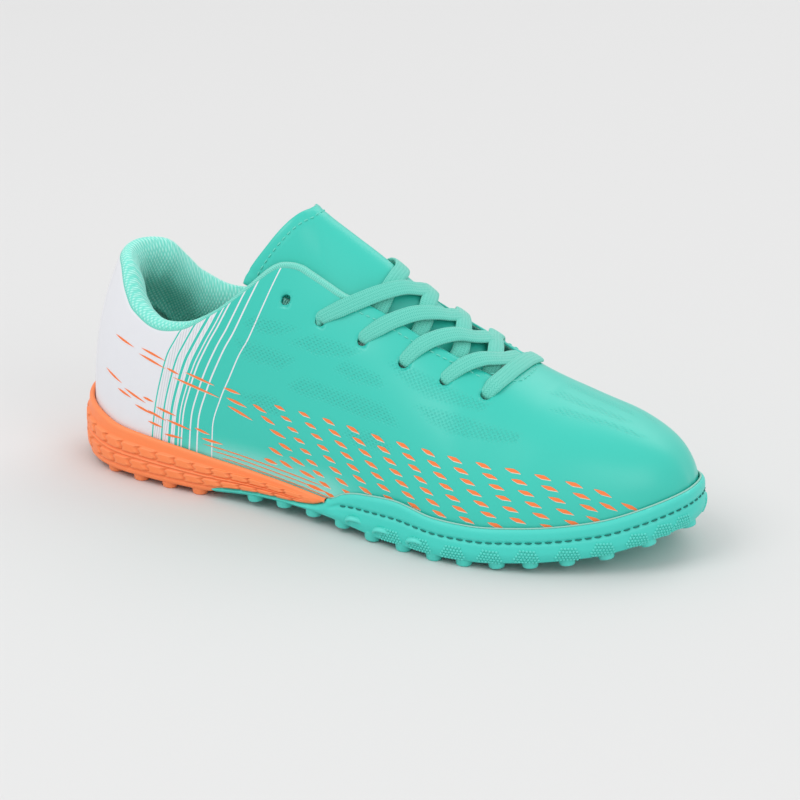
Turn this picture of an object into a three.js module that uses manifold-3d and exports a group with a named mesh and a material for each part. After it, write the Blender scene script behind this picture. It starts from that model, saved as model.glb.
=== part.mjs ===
// Football turf shoe, right foot, toe towards +X, outer (lateral) side towards -Y, +Z up, millimetres.
// Every curved piece is worked out from one last: a row of sections from heel to toe.
import * as THREE from 'three';
import { mergeVertices } from 'three/addons/utils/BufferGeometryUtils.js';
import Module from 'manifold-3d';

const wasm = await Module();
wasm.setup();

// Driving dimensions of the last
const LAST_LENGTH = 245;
const BALL_WIDTH = 88;
const INSTEP_HEIGHT = 96;
const HEEL_STACK = 9.2;
const HEEL_LEAN = 10.5;
const HEEL_TUCK = 3;
const HEEL_BULGE_HEIGHT = 33;
const LEAN_SPAN = 50;

// Upper
const UPPER_WALL = 1.9;
const EYELET_DIAMETER = 4.4;
const EYELET_FACETS = 8;
const THROAT_END = 0.715;

// Clearance between pieces that touch on the real shoe
const CLEARANCE = 0.3;

// Sole unit
const STUD_HEIGHT = 3.8;
const STUD_DIAMETER = 6.6;
const STUD_TIP_DIAMETER = 5.6;
const STUD_INSET = 3.9;
const STUD_ROOT = 1.2;
const RIM_HEIGHT = 13;
const RIM_WALL = 1.2;
const SIDE_WALL = 2.2;
const EDGE_BEVEL = 2.2;
const GROOVE_DEPTH = 0.9;
const GROOVE_WIDTH = 1.3;
const LIP_HEIGHT = 1.2;
const LIP_OVERHANG = 0.4;
const HEEL_RIDGE = 0.9;
const BLOCK_RELIEF = 0.7;
const BLOCK_LENGTH = 7.6;
const DISC_DIAMETER = 8.5;
const DISC_HEIGHT = 1.8;

// Soft pieces
const TONGUE_THICKNESS = 3.2;
const INSOLE_THICKNESS = 3;
const PAD_THICKNESS = 6.2;
const PAD_RISE = 3;
const LINING_DEPTH = 26;
const LACE_WIDTH = 6.8;
const LACE_THICKNESS = 1.7;

// Sections of the last. t: share of LAST_LENGTH from the heel. lateral, medial, centre, lean: shares of
// BALL_WIDTH. ridge: share of INSTEP_HEIGHT above the foot bed. full: fullness of the half section.
const SECTIONS = [
  { t: 0.0, lateral: 0.324, medial: 0.324, centre: 0.0, ridge: 1.13, lean: 0.0, full: 2.5 },
  { t: 0.1, lateral: 0.325, medial: 0.325, centre: 0.0, ridge: 1.13, lean: 0.0, full: 2.5 },
  { t: 0.2, lateral: 0.341, medial: 0.341, centre: 0.0, ridge: 1.13, lean: 0.0, full: 2.4 },
  { t: 0.3, lateral: 0.339, medial: 0.324, centre: 0.0, ridge: 1.105, lean: 0.011, full: 2.2 },
  { t: 0.4, lateral: 0.366, medial: 0.301, centre: 0.0, ridge: 1.0, lean: 0.023, full: 2.0 },
  { t: 0.5, lateral: 0.409, medial: 0.313, centre: 0.0, ridge: 0.869, lean: 0.034, full: 1.95 },
  { t: 0.6, lateral: 0.461, medial: 0.364, centre: 0.006, ridge: 0.72, lean: 0.04, full: 2.0 },
  { t: 0.7, lateral: 0.504, medial: 0.432, centre: 0.017, ridge: 0.58, lean: 0.04, full: 2.1 },
  { t: 0.8, lateral: 0.502, medial: 0.46, centre: 0.036, ridge: 0.464, lean: 0.034, full: 2.2 },
  { t: 0.9, lateral: 0.466, medial: 0.449, centre: 0.068, ridge: 0.376, lean: 0.023, full: 2.3 },
  { t: 1.0, lateral: 0.432, medial: 0.432, centre: 0.098, ridge: 0.31, lean: 0.011, full: 2.3 },
];

// Sole from heel to toe. lift: height of the stud tips, share of LAST_LENGTH. bed: thickness between
// plate underside and foot bed, share of HEEL_STACK.
const SOLE = [
  { t: 0.0, lift: 0.004, bed: 1.0 },
  { t: 0.04, lift: 0.0, bed: 1.0 },
  { t: 0.24, lift: 0.0, bed: 0.86 },
  { t: 0.4, lift: 0.0125, bed: 0.4 },
  { t: 0.46, lift: 0.0118, bed: 0.38 },
  { t: 0.6, lift: 0.0, bed: 0.5 },
  { t: 0.73, lift: 0.0, bed: 0.5 },
  { t: 0.8, lift: 0.0062, bed: 0.5 },
  { t: 0.9, lift: 0.0178, bed: 0.48 },
  { t: 1.0, lift: 0.05, bed: 0.4 },
];

// Top edge of the sidewall above the foot bed, share of RIM_HEIGHT.
const RIM = [
  { t: 0.0, rise: 1.0 },
  { t: 0.05, rise: 0.85 },
  { t: 0.1, rise: 0.65 },
  { t: 0.2, rise: 0.52 },
  { t: 0.3, rise: 0.37 },
  { t: 0.4, rise: 0.28 },
  { t: 0.483, rise: 0.19 },
  { t: 0.51, rise: 0.48 },
  { t: 0.54, rise: 0.67 },
  { t: 0.6, rise: 0.82 },
  { t: 0.67, rise: 0.64 },
  { t: 0.74, rise: 0.59 },
  { t: 0.84, rise: 0.57 },
  { t: 1.0, rise: 0.66 },
];

// Edge of collar and throat: share of the way from foot bed (0) to ridge (1) on each side.
const OPENING = [
  { t: 0.0, lateral: 0.385, medial: 0.385 },
  { t: 0.03, lateral: 0.378, medial: 0.372 },
  { t: 0.07, lateral: 0.32, medial: 0.31 },
  { t: 0.1, lateral: 0.278, medial: 0.268 },
  { t: 0.15, lateral: 0.252, medial: 0.244 },
  { t: 0.19, lateral: 0.268, medial: 0.258 },
  { t: 0.25, lateral: 0.35, medial: 0.335 },
  { t: 0.3, lateral: 0.462, medial: 0.445 },
  { t: 0.35, lateral: 0.6, medial: 0.58 },
  { t: 0.385, lateral: 0.64, medial: 0.63 },
  { t: 0.45, lateral: 0.645, medial: 0.65 },
  { t: 0.52, lateral: 0.69, medial: 0.7 },
  { t: 0.6, lateral: 0.735, medial: 0.74 },
  { t: 0.7, lateral: 0.8, medial: 0.8 },
  { t: 1.0, lateral: 0.9, medial: 0.9 },
];

// Eyelets, top pair first: place along the last and share of the way up the section.
const EYELETS = [
  { t: 0.367, lateral: 0.492, medial: 0.48 },
  { t: 0.43, lateral: 0.5, medial: 0.5 },
  { t: 0.503, lateral: 0.533, medial: 0.54 },
  { t: 0.573, lateral: 0.567, medial: 0.58 },
  { t: 0.64, lateral: 0.617, medial: 0.625 },
  { t: 0.703, lateral: 0.675, medial: 0.68 },
];

// Roundness of the last's ends: share of the length over which each side closes, and its power.
const HEEL_ROUND = { share: 0.135, power: 2 };
const TOE_ROUND = { lateral: 0.35, medial: 0.27, power: 2.2 };
const TOE_TOP_ROUND = { share: 0.145, power: 2.3 };
const TOE_LEAN_SHARE = 0.2;
const LEAN_REACH = 0.45;
const LEAN_POWER = 1.5;

// Value of one column at station t: a smooth curve through the rows that never overshoots them.
function along(rows, column, t) {
  let row = 0;
  while (row < rows.length - 2 && t > rows[row + 1].t) {
    row += 1;
  }
  const slopeOf = (i) => (rows[i + 1][column] - rows[i][column]) / (rows[i + 1].t - rows[i].t);
  const tangent = (i) => {
    if (i === 0) {
      return slopeOf(0);
    }
    if (i === rows.length - 1) {
      return slopeOf(rows.length - 2);
    }
    const before = slopeOf(i - 1);
    const after = slopeOf(i);
    return before * after > 0 ? (2 * before * after) / (before + after) : 0;
  };
  const step = rows[row + 1].t - rows[row].t;
  const u = THREE.MathUtils.clamp((t - rows[row].t) / step, 0, 1);
  const start = rows[row][column];
  const end = rows[row + 1][column];
  const rise = end - start;
  const a = tangent(row) * step;
  const b = tangent(row + 1) * step;
  return start + u * a + u * u * (3 * rise - 2 * a - b) + u * u * u * (a + b - 2 * rise);
}

// Falls from 1 to 0 as gone runs from 0 to 1, like a quarter of a superellipse.
function rounded(gone, power) {
  const g = THREE.MathUtils.clamp(gone, 0, 1);
  return (1 - g ** power) ** (1 / power);
}

function smooth(from, to, value) {
  return THREE.MathUtils.smoothstep(value, from, to);
}

const SIDE_SIGN = { lateral: -1, medial: 1 };

function underside(t) {
  return STUD_HEIGHT + along(SOLE, 'lift', t) * LAST_LENGTH;
}

function footBed(t) {
  return underside(t) + along(SOLE, 'bed', t) * HEEL_STACK;
}

function rimTop(t) {
  return footBed(t) + along(RIM, 'rise', t) * RIM_HEIGHT;
}

// How far the back of the heel stands in at height z.
function heelBack(z) {
  const u = (z - HEEL_BULGE_HEIGHT) / LEAN_SPAN;
  return (u > 0 ? HEEL_LEAN : HEEL_TUCK) * u * u;
}

function stationX(t, off, z) {
  const fade = Math.max(0, 1 - t / LEAN_REACH) ** LEAN_POWER;
  return (t - 0.5) * (LAST_LENGTH + 2 * off) + LAST_LENGTH / 2 + heelBack(z) * fade;
}

function halfWidth(t, side, off) {
  const full = along(SECTIONS, side, t) * BALL_WIDTH + off;
  const heel = rounded(1 - t / HEEL_ROUND.share, HEEL_ROUND.power);
  const toe = rounded((t - 1 + TOE_ROUND[side]) / TOE_ROUND[side], TOE_ROUND.power);
  return full * heel * toe;
}

// Point on the last. q: 0 at the foot bed's edge, 1 at the ridge. off: outwards from the foot.
function lastPoint(t, q, side, off) {
  const angle = q * Math.PI / 2;
  const full = along(SECTIONS, 'full', t);
  const out = Math.max(0, Math.cos(angle)) ** (2 / full);
  const up = Math.sin(angle) ** (2 / full);
  const rise = along(SECTIONS, 'ridge', t) * INSTEP_HEIGHT + off;
  const closed = rounded((t - 1 + TOE_TOP_ROUND.share) / TOE_TOP_ROUND.share, TOE_TOP_ROUND.power);
  const z = footBed(t) + rise * closed * up;
  const fade = rounded((t - 1 + TOE_LEAN_SHARE) / TOE_LEAN_SHARE, 2);
  const centre = along(SECTIONS, 'centre', t) * BALL_WIDTH;
  const lean = along(SECTIONS, 'lean', t) * BALL_WIDTH * up * fade;
  const y = centre + SIDE_SIGN[side] * halfWidth(t, side, off) * out + lean;
  return new THREE.Vector3(stationX(t, off, z), y, z);
}

// Point on the sole's outline at height z, off outwards from the last's edge.
function outlinePoint(t, side, off, z) {
  const centre = along(SECTIONS, 'centre', t) * BALL_WIDTH;
  return new THREE.Vector3(stationX(t, off, z), centre + SIDE_SIGN[side] * halfWidth(t, side, off), z);
}

// Stations crowd towards the heel and the toe, where the outline turns.
function stations(count, pinned) {
  const list = Array.from({ length: count + 1 }, (_, i) => (1 - Math.cos(Math.PI * i / count)) / 2);
  for (const pin of pinned) {
    const away = list.map((t) => Math.abs(t - pin));
    list[away.indexOf(Math.min(...away))] = pin;
  }
  return list;
}

const HEEL_END = 0.275;
const WING_END = 0.48;
const STATIONS = stations(30, [HEEL_END, WING_END, THROAT_END]);

// A list of points and of triangles that share them.
class Faces {
  constructor() {
    this.points = [];
    this.index = [];
  }

  add(point) {
    this.points.push(point.x, point.y, point.z);
    return this.points.length / 3 - 1;
  }

  quad(a, b, c, d) {
    this.index.push(a, b, c, a, c, d);
  }

  geometry() {
    const raw = new THREE.BufferGeometry();
    raw.setAttribute('position', new THREE.Float32BufferAttribute(this.points, 3));
    raw.setIndex(this.index);
    return raw;
  }
}

// Solid from a geometry: equal points become one and triangles without area go.
function solid(geometry) {
  const bare = geometry.clone();
  bare.deleteAttribute('normal');
  bare.deleteAttribute('uv');
  const merged = mergeVertices(bare, 1e-4);
  const position = merged.getAttribute('position').array;
  const kept = [];
  const index = merged.index.array;
  for (let i = 0; i < index.length; i += 3) {
    const [a, b, c] = [index[i], index[i + 1], index[i + 2]];
    if (a !== b && b !== c && c !== a) {
      kept.push(a, b, c);
    }
  }
  const mesh = new wasm.Mesh({
    numProp: 3,
    vertProperties: new Float32Array(position),
    triVerts: new Uint32Array(kept),
  });
  return new wasm.Manifold(mesh);
}

function join(solids) {
  return solids.reduce((whole, piece) => whole.add(piece));
}

function geometryOf(shape) {
  const mesh = shape.getMesh();
  const geometry = new THREE.BufferGeometry();
  geometry.setAttribute('position', new THREE.BufferAttribute(new Float32Array(mesh.vertProperties), 3));
  geometry.setIndex(new THREE.BufferAttribute(new Uint32Array(mesh.triVerts), 1));
  geometry.computeVertexNormals();
  return geometry;
}

// Sheet with a thickness: two grids of points, joined along the edges of the cells in use.
// outer and inner give a point for row i and column j; used says whether a cell is there. A seamed
// sheet is folded on itself along its first row, where it needs no wall.
function thickSheet(rows, columns, outer, inner, used, seamed = false) {
  const faces = new Faces();
  const place = (maker) => Array.from({ length: rows + 1 }, (_, i) => (
    Array.from({ length: columns + 1 }, (__, j) => faces.add(maker(i, j)))
  ));
  const top = place(outer);
  const bottom = place(inner);
  const inUse = (i, j) => i >= 0 && j >= 0 && i < rows && j < columns && used(i, j);
  const wall = (from, to) => {
    faces.quad(top[to[0]][to[1]], top[from[0]][from[1]], bottom[from[0]][from[1]], bottom[to[0]][to[1]]);
  };
  for (let i = 0; i < rows; i += 1) {
    for (let j = 0; j < columns; j += 1) {
      if (inUse(i, j)) {
        faces.quad(top[i][j], top[i + 1][j], top[i + 1][j + 1], top[i][j + 1]);
        faces.quad(bottom[i][j], bottom[i][j + 1], bottom[i + 1][j + 1], bottom[i + 1][j]);
        if (!inUse(i, j - 1)) {
          wall([i, j], [i + 1, j]);
        }
        if (!inUse(i + 1, j)) {
          wall([i + 1, j], [i + 1, j + 1]);
        }
        if (!inUse(i, j + 1)) {
          wall([i + 1, j + 1], [i, j + 1]);
        }
        if (!inUse(i - 1, j) && !(seamed && i === 0)) {
          wall([i, j + 1], [i, j]);
        }
      }
    }
  }
  return solid(faces.geometry());
}

// Body closed all round the outline: profile rows go up the outside, over and down again, and the
// first and the last row are closed by strips from side to side.
function ringBody(list, rows) {
  const faces = new Faces();
  const loop = [
    ...list.map((t) => ({ t, side: 'lateral' })),
    ...list.slice(1, -1).reverse().map((t) => ({ t, side: 'medial' })),
  ];
  const rings = rows.map((row) => loop.map(({ t, side }) => {
    const { off, z } = row(t);
    return faces.add(outlinePoint(t, side, off, z));
  }));
  for (let k = 0; k < rings.length - 1; k += 1) {
    loop.forEach((_, i) => {
      const next = (i + 1) % loop.length;
      faces.quad(rings[k][i], rings[k][next], rings[k + 1][next], rings[k + 1][i]);
    });
  }
  const strips = (ring, flipped) => {
    const other = (i) => ring[(loop.length - i) % loop.length];
    for (let i = 0; i < list.length - 1; i += 1) {
      const corners = [ring[i], other(i), other(i + 1), ring[i + 1]];
      faces.quad(...(flipped ? corners.reverse() : corners));
    }
  };
  strips(rings[0], false);
  strips(rings[rings.length - 1], true);
  return solid(faces.geometry());
}

// Upper: lasted shell, columns from the lateral foot bed edge over the ridge to the medial one.
const COLUMNS = { panel: 9, vamp: 3 };
const SIDE_COLUMNS = COLUMNS.panel + COLUMNS.vamp;

function acrossColumn(t, column) {
  const side = column <= SIDE_COLUMNS ? 'lateral' : 'medial';
  const fromBed = side === 'lateral' ? column : 2 * SIDE_COLUMNS - column;
  const edge = along(OPENING, side, t);
  const q = fromBed <= COLUMNS.panel
    ? edge * fromBed / COLUMNS.panel
    : edge + (1 - edge) * (fromBed - COLUMNS.panel) / COLUMNS.vamp;
  return { side, q };
}

function surfaceFrame(t, q, side, off) {
  const step = 0.005;
  const here = lastPoint(t, q, side, off);
  const forward = lastPoint(t + step, q, side, off).sub(here);
  const upward = lastPoint(t, q + step, side, off).sub(here);
  const normal = forward.cross(upward).multiplyScalar(-SIDE_SIGN[side]).normalize();
  return { here, normal };
}

function pin(centre, direction, diameter, length, sides) {
  const geometry = new THREE.CylinderGeometry(diameter / 2, diameter / 2, length, sides);
  const turn = new THREE.Quaternion().setFromUnitVectors(new THREE.Vector3(0, 1, 0), direction);
  geometry.applyQuaternion(turn);
  geometry.translate(centre.x, centre.y, centre.z);
  return solid(geometry);
}

function makeUpper() {
  const sheetPoint = (off) => (i, j) => {
    const t = STATIONS[i];
    const { side, q } = acrossColumn(t, j);
    return lastPoint(t, q, side, off);
  };
  const covered = (i, j) => {
    const middle = j >= COLUMNS.panel && j < 2 * SIDE_COLUMNS - COLUMNS.panel;
    return !middle || STATIONS[i] >= THROAT_END - 1e-9;
  };
  const rows = STATIONS.length - 1;
  let shell = thickSheet(rows, 2 * SIDE_COLUMNS, sheetPoint(UPPER_WALL), sheetPoint(0), covered, true);
  for (const eyelet of EYELETS) {
    for (const side of ['lateral', 'medial']) {
      const { here, normal } = surfaceFrame(eyelet.t, eyelet[side], side, UPPER_WALL / 2);
      shell = shell.subtract(pin(here, normal, EYELET_DIAMETER, 4 * UPPER_WALL, EYELET_FACETS));
    }
  }
  return shell;
}

// Sole unit: one profile carried round the outline, then parted into heel cup and outsole.
const INNER_OFF = UPPER_WALL + CLEARANCE;
const SIDE_OFF = INNER_OFF + SIDE_WALL;

function wallHeight(t, share) {
  return underside(t) + (rimTop(t) - underside(t)) * share;
}

// 1 along the heel cup and 0 along the outsole.
function heelShare(t) {
  return 1 - smooth(0.42, 0.5, t);
}

// Height of the heel's ridge and of the stitch groove, share of the wall's height.
const GROOVE_SHARE = 0.58;
const RIDGE_SHARE = 0.41;

function ridgeShare(t) {
  return THREE.MathUtils.lerp(GROOVE_SHARE, RIDGE_SHARE, heelShare(t) * smooth(0, 0.08, t));
}

const SOLE_PROFILE = [
  (t) => ({ off: SIDE_OFF - EDGE_BEVEL, z: underside(t) }),
  (t) => ({ off: SIDE_OFF - EDGE_BEVEL / 4, z: underside(t) + EDGE_BEVEL * 0.6 }),
  (t) => ({ off: SIDE_OFF, z: wallHeight(t, ridgeShare(t)) - GROOVE_WIDTH }),
  (t) => ({
    off: SIDE_OFF + THREE.MathUtils.lerp(-GROOVE_DEPTH, HEEL_RIDGE, heelShare(t)),
    z: wallHeight(t, ridgeShare(t)),
  }),
  (t) => ({ off: SIDE_OFF - CLEARANCE, z: wallHeight(t, ridgeShare(t)) + GROOVE_WIDTH }),
  (t) => ({ off: INNER_OFF + RIM_WALL + LIP_OVERHANG, z: rimTop(t) - LIP_HEIGHT }),
  (t) => ({ off: INNER_OFF + RIM_WALL * 0.6, z: rimTop(t) }),
  (t) => ({ off: INNER_OFF, z: rimTop(t) - LIP_HEIGHT / 6 }),
  (t) => ({ off: INNER_OFF, z: footBed(t) - CLEARANCE }),
];

// Slab seen from the side: an outline in X and Z, drawn through the whole width of the shoe.
function sideSlab(outline) {
  const shape = new THREE.Shape(outline.map(([x, z]) => new THREE.Vector2(x, z)));
  const geometry = new THREE.ExtrudeGeometry(shape, { depth: 2 * BALL_WIDTH, bevelEnabled: false });
  geometry.rotateX(Math.PI / 2);
  geometry.translate(0, BALL_WIDTH, 0);
  return solid(geometry);
}

// Lower edge of the heel cup's wings: station, and share of the wall's height.
const WING_EDGE = [
  { t: 0.31, share: 0.1 },
  { t: 0.37, share: 0.12 },
  { t: 0.42, share: 0.18 },
  { t: 0.455, share: 0.36 },
  { t: 0.474, share: 0.7 },
  { t: WING_END, share: 1.0 },
];

// Space taken by the heel cup, grown by a gap where the outsole is cut away for it.
function heelSpace(gap) {
  const far = 2 * BALL_WIDTH;
  const back = -LAST_LENGTH / 10;
  const low = -STUD_HEIGHT;
  const split = stationX(HEEL_END, 0, 0) + gap;
  const rear = sideSlab([[back, low], [split, low], [split, far], [back, far]]);
  const edge = WING_EDGE.map(({ t, share }) => [
    stationX(t, SIDE_OFF, 0) + gap,
    wallHeight(t, share) - gap,
  ]);
  const tip = edge[edge.length - 1][0];
  const strip = sideSlab([[back, 2 * low], [edge[0][0], 2 * low], ...edge, [tip, far], [back, far]]);
  const core = ringBody(STATIONS, [
    () => ({ off: INNER_OFF - gap, z: 3 * low }),
    (t) => ({ off: INNER_OFF - gap, z: footBed(t) - CLEARANCE }),
    (t) => ({ off: INNER_OFF - gap, z: rimTop(t) - LIP_HEIGHT / 6 }),
    (t) => ({ off: INNER_OFF - gap, z: rimTop(t) + RIM_HEIGHT }),
  ]);
  return rear.add(strip.subtract(core));
}

function plateNormal(t) {
  const slope = (underside(t + 0.01) - underside(t - 0.01)) / (0.02 * LAST_LENGTH);
  return new THREE.Vector3(slope, 0, -1).normalize();
}

// Stud: a blunt cone, rooted a little way inside the plate, its tip at the sole's ground line.
function stud({ x, y, t, sides }) {
  const tilted = along(SOLE, 'lift', t) * LAST_LENGTH > STUD_HEIGHT / 10;
  const down = tilted ? plateNormal(t) : new THREE.Vector3(0, 0, -1);
  const length = STUD_HEIGHT + STUD_ROOT;
  const geometry = new THREE.CylinderGeometry(STUD_DIAMETER / 2, STUD_TIP_DIAMETER / 2, length, sides);
  geometry.rotateY(Math.PI / sides);
  const turn = new THREE.Quaternion().setFromUnitVectors(new THREE.Vector3(0, -1, 0), down);
  geometry.applyQuaternion(turn);
  const centre = new THREE.Vector3(x, y, underside(t)).addScaledVector(down, (STUD_HEIGHT - STUD_ROOT) / 2);
  geometry.translate(centre.x, centre.y, centre.z);
  return solid(geometry);
}

// Rows of studs: how far in from the edge row, as a share of BALL_WIDTH, first and last station, and
// how many. The edge row's studs have more sides than those further in.
const EDGE_STUD_SIDES = 7;
const INNER_STUD_SIDES = 6;
const STUD_ROWS = [
  { inset: 0, from: 0.075, to: 0.24, count: 4 },
  { inset: 0, from: 0.34, to: 0.62, count: 6 },
  { inset: 0, from: 0.675, to: 0.965, count: 7 },
  { inset: 0.17, from: 0.12, to: 0.22, count: 2 },
  { inset: 0.16, from: 0.36, to: 0.48, count: 2 },
  { inset: 0.148, from: 0.58, to: 0.93, count: 5 },
  { inset: 0.307, from: 0.64, to: 0.84, count: 3 },
];

// One stud at each end of the shoe: end of the outline, how far in, and the station of its root.
const END_STUDS = [
  { at: 0, inset: 0.023, t: 0.045 },
  { at: 1, inset: 0.011, t: 0.985 },
];

function studPlaces() {
  const places = [];
  for (const row of STUD_ROWS) {
    for (const side of ['lateral', 'medial']) {
      for (let i = 0; i < row.count; i += 1) {
        const t = row.from + (row.to - row.from) * i / (row.count - 1);
        const point = outlinePoint(t, side, SIDE_OFF - STUD_INSET - row.inset * BALL_WIDTH, 0);
        const sides = row.inset > 0 ? INNER_STUD_SIDES : EDGE_STUD_SIDES;
        places.push({ x: point.x, y: point.y, t, sides });
      }
    }
  }
  for (const end of END_STUDS) {
    const point = outlinePoint(end.at, 'lateral', SIDE_OFF - STUD_INSET - end.inset * BALL_WIDTH, 0);
    places.push({ x: point.x, y: point.y, t: end.t, sides: EDGE_STUD_SIDES });
  }
  return places;
}

// Ringed discs on the turned-up edge of the waist.
const DISC_STATIONS = [0.535, 0.585, 0.645];

function disc(t, side) {
  const low = outlinePoint(t, side, SIDE_OFF - EDGE_BEVEL * 0.7, underside(t) + EDGE_BEVEL * 0.5);
  const direction = new THREE.Vector3(0, SIDE_SIGN[side], -1).normalize();
  const whole = pin(low, direction, DISC_DIAMETER, DISC_HEIGHT, 9);
  const dimple = pin(low.clone().addScaledVector(direction, DISC_HEIGHT / 2), direction, DISC_DIAMETER * 0.4,
    DISC_HEIGHT / 2, 6);
  return whole.subtract(dimple);
}

// Raised blocks in two bands round the heel cup.
const BLOCK_BANDS = [
  { low: 0.1, high: 0.36, from: 0.03, to: 0.4, count: 7 },
  { low: 0.52, high: 0.86, from: 0.025, to: 0.44, count: 8 },
];

function sideBlock(t, side, band) {
  const half = BLOCK_LENGTH / 2 / LAST_LENGTH;
  const faces = new Faces();
  const corner = (at, share, off) => faces.add(outlinePoint(at, side, off, wallHeight(at, share)));
  const inner = SIDE_OFF - SIDE_WALL / 2;
  const outer = SIDE_OFF + BLOCK_RELIEF;
  const slant = half * 0.5;
  const ends = [Math.max(t - half, 0.004), t + half];
  const rings = [inner, outer].map((off) => [
    corner(ends[0], band.low, off),
    corner(ends[1], band.low, off),
    corner(ends[1] + slant, band.high, off),
    corner(ends[0] + slant, band.high, off),
  ]);
  const [a, b] = side === 'lateral' ? rings : [rings[1], rings[0]];
  for (let i = 0; i < 4; i += 1) {
    const next = (i + 1) % 4;
    faces.quad(a[i], a[next], b[next], b[i]);
  }
  faces.quad(b[0], b[1], b[2], b[3]);
  faces.quad(a[3], a[2], a[1], a[0]);
  return solid(faces.geometry());
}

function makeSole() {
  const dish = ringBody(STATIONS, SOLE_PROFILE);
  const split = stationX(HEEL_END, 0, 0);
  const places = studPlaces();
  const studs = (keep) => places.filter(keep).map(stud);
  const sides = ['lateral', 'medial'];
  const blocks = BLOCK_BANDS.flatMap((band) => sides.flatMap((side) => (
    Array.from({ length: band.count }, (_, i) => (
      sideBlock(band.from + (band.to - band.from) * i / (band.count - 1), side, band)
    ))
  )));
  const room = STUD_DIAMETER / 2 + CLEARANCE;
  const heel = join([
    dish.intersect(heelSpace(0)),
    ...studs(({ x }) => x < split - room),
  ]);
  const cup = join([heel, ...blocks.map((block) => block.intersect(heelSpace(0)))]);
  const discs = DISC_STATIONS.flatMap((t) => sides.map((side) => disc(t, side)));
  const front = join([dish, ...studs(({ x }) => x > split + room), ...discs]);
  const outsole = front.subtract(heelSpace(CLEARANCE));
  return { cup, outsole };
}

// Tongue: lies on the instep under the flaps and rises in the throat between them.
const TONGUE_FOOT = 0.77;
const TONGUE_TOP = 0.352;
const TONGUE_DROOP = 0.07;
const TONGUE_CORNER = 0.012;
const TONGUE_EDGE = [
  { t: 0.3, lateral: 0.515, medial: 0.515 },
  { t: 0.45, lateral: 0.56, medial: 0.56 },
  { t: 0.6, lateral: 0.64, medial: 0.64 },
  { t: 0.8, lateral: 0.76, medial: 0.76 },
];
const TONGUE_SINK = LACE_THICKNESS + 3 * CLEARANCE;
const TONGUE_SWELL = 1.2;

// How far before the throat's end the tongue starts to sink, and is fully down.
const TONGUE_SINKS = { from: 0.08, to: 0.015 };

function tongueOff(t, q, side) {
  const edge = along(OPENING, side, t);
  const open = 1 - smooth(THROAT_END - TONGUE_SINKS.from, THROAT_END - TONGUE_SINKS.to, t);
  const free = 1 - smooth(0.34, 0.42, t);
  const inThroat = smooth(edge + 0.05, 1, q);
  const raised = Math.max(inThroat * open, free * smooth(0.4, 0.9, q));
  return -CLEARANCE - TONGUE_SINK + (TONGUE_SINK + TONGUE_SWELL) * raised;
}

function makeTongue() {
  const rows = 12;
  const columns = 8;
  const at = (depth) => (i, j) => {
    const across = 2 * j / columns - 1;
    const side = across < 0 ? 'lateral' : 'medial';
    const away = Math.abs(across);
    const top = TONGUE_TOP - TONGUE_DROOP * away ** 1.35 + TONGUE_CORNER * away ** 12;
    const t = TONGUE_FOOT + (top - TONGUE_FOOT) * (i / rows);
    const q = 1 - away * (1 - along(TONGUE_EDGE, side, t));
    return lastPoint(t, q, side, tongueOff(t, q, side) - depth);
  };
  return thickSheet(rows, columns, at(TONGUE_THICKNESS), at(0), () => true);
}

// Padded lining: thin at its foot, thickest under the collar's edge, rolled over at the top.
const LINING_END = 0.31;
const LINING_FOOT_THICKNESS = 1.2;
const LINING_ROLL = 1.4;
const LINING_FRONT_SHARE = 0.38;

function makeLining() {
  const half = 11;
  const columns = 5;
  const insideShare = 0.75;
  const station = (i) => LINING_END * (1 - Math.cos(Math.PI * Math.abs(i - half) / half / 2));
  const height = (t) => along(SECTIONS, 'ridge', t) * INSTEP_HEIGHT;
  const at = (outer) => (i, j) => {
    const t = station(i);
    const side = i < half ? 'lateral' : 'medial';
    const v = j / columns;
    const edge = along(OPENING, side, t);
    const low = edge - insideShare * LINING_DEPTH / height(t);
    const crest = edge + insideShare * PAD_RISE / height(t);
    const q = low + (crest - low) * v;
    const thin = THREE.MathUtils.lerp(1, LINING_FRONT_SHARE, smooth(0.1, LINING_END, t));
    const swell = PAD_THICKNESS * thin * THREE.MathUtils.lerp(0.22, 1, Math.sin(Math.PI * v * 0.72) ** 2);
    const roll = LINING_ROLL * thin * smooth(0.82, 1, v);
    const room = CLEARANCE * THREE.MathUtils.lerp(2, 4, smooth(0.2, LINING_END, t));
    const inside = Math.max(LINING_FOOT_THICKNESS + roll, swell);
    return lastPoint(t, q, side, -room - (outer ? roll : inside));
  };
  return thickSheet(2 * half, columns, at(false), at(true), () => true);
}

const INSOLE_BEVEL = 0.9;

function makeInsole() {
  return ringBody(stations(28, []), [
    (t) => ({ off: -2 * CLEARANCE, z: footBed(t) }),
    (t) => ({ off: -2 * CLEARANCE - INSOLE_BEVEL, z: footBed(t) + INSOLE_THICKNESS }),
  ]);
}

// Lace section: shares of its width and of its thickness.
const LACE_SECTION = [[-0.5, 0], [-0.34, -0.5], [0.34, -0.5], [0.5, 0], [0.34, 0.5], [-0.34, 0.5]];

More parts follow.
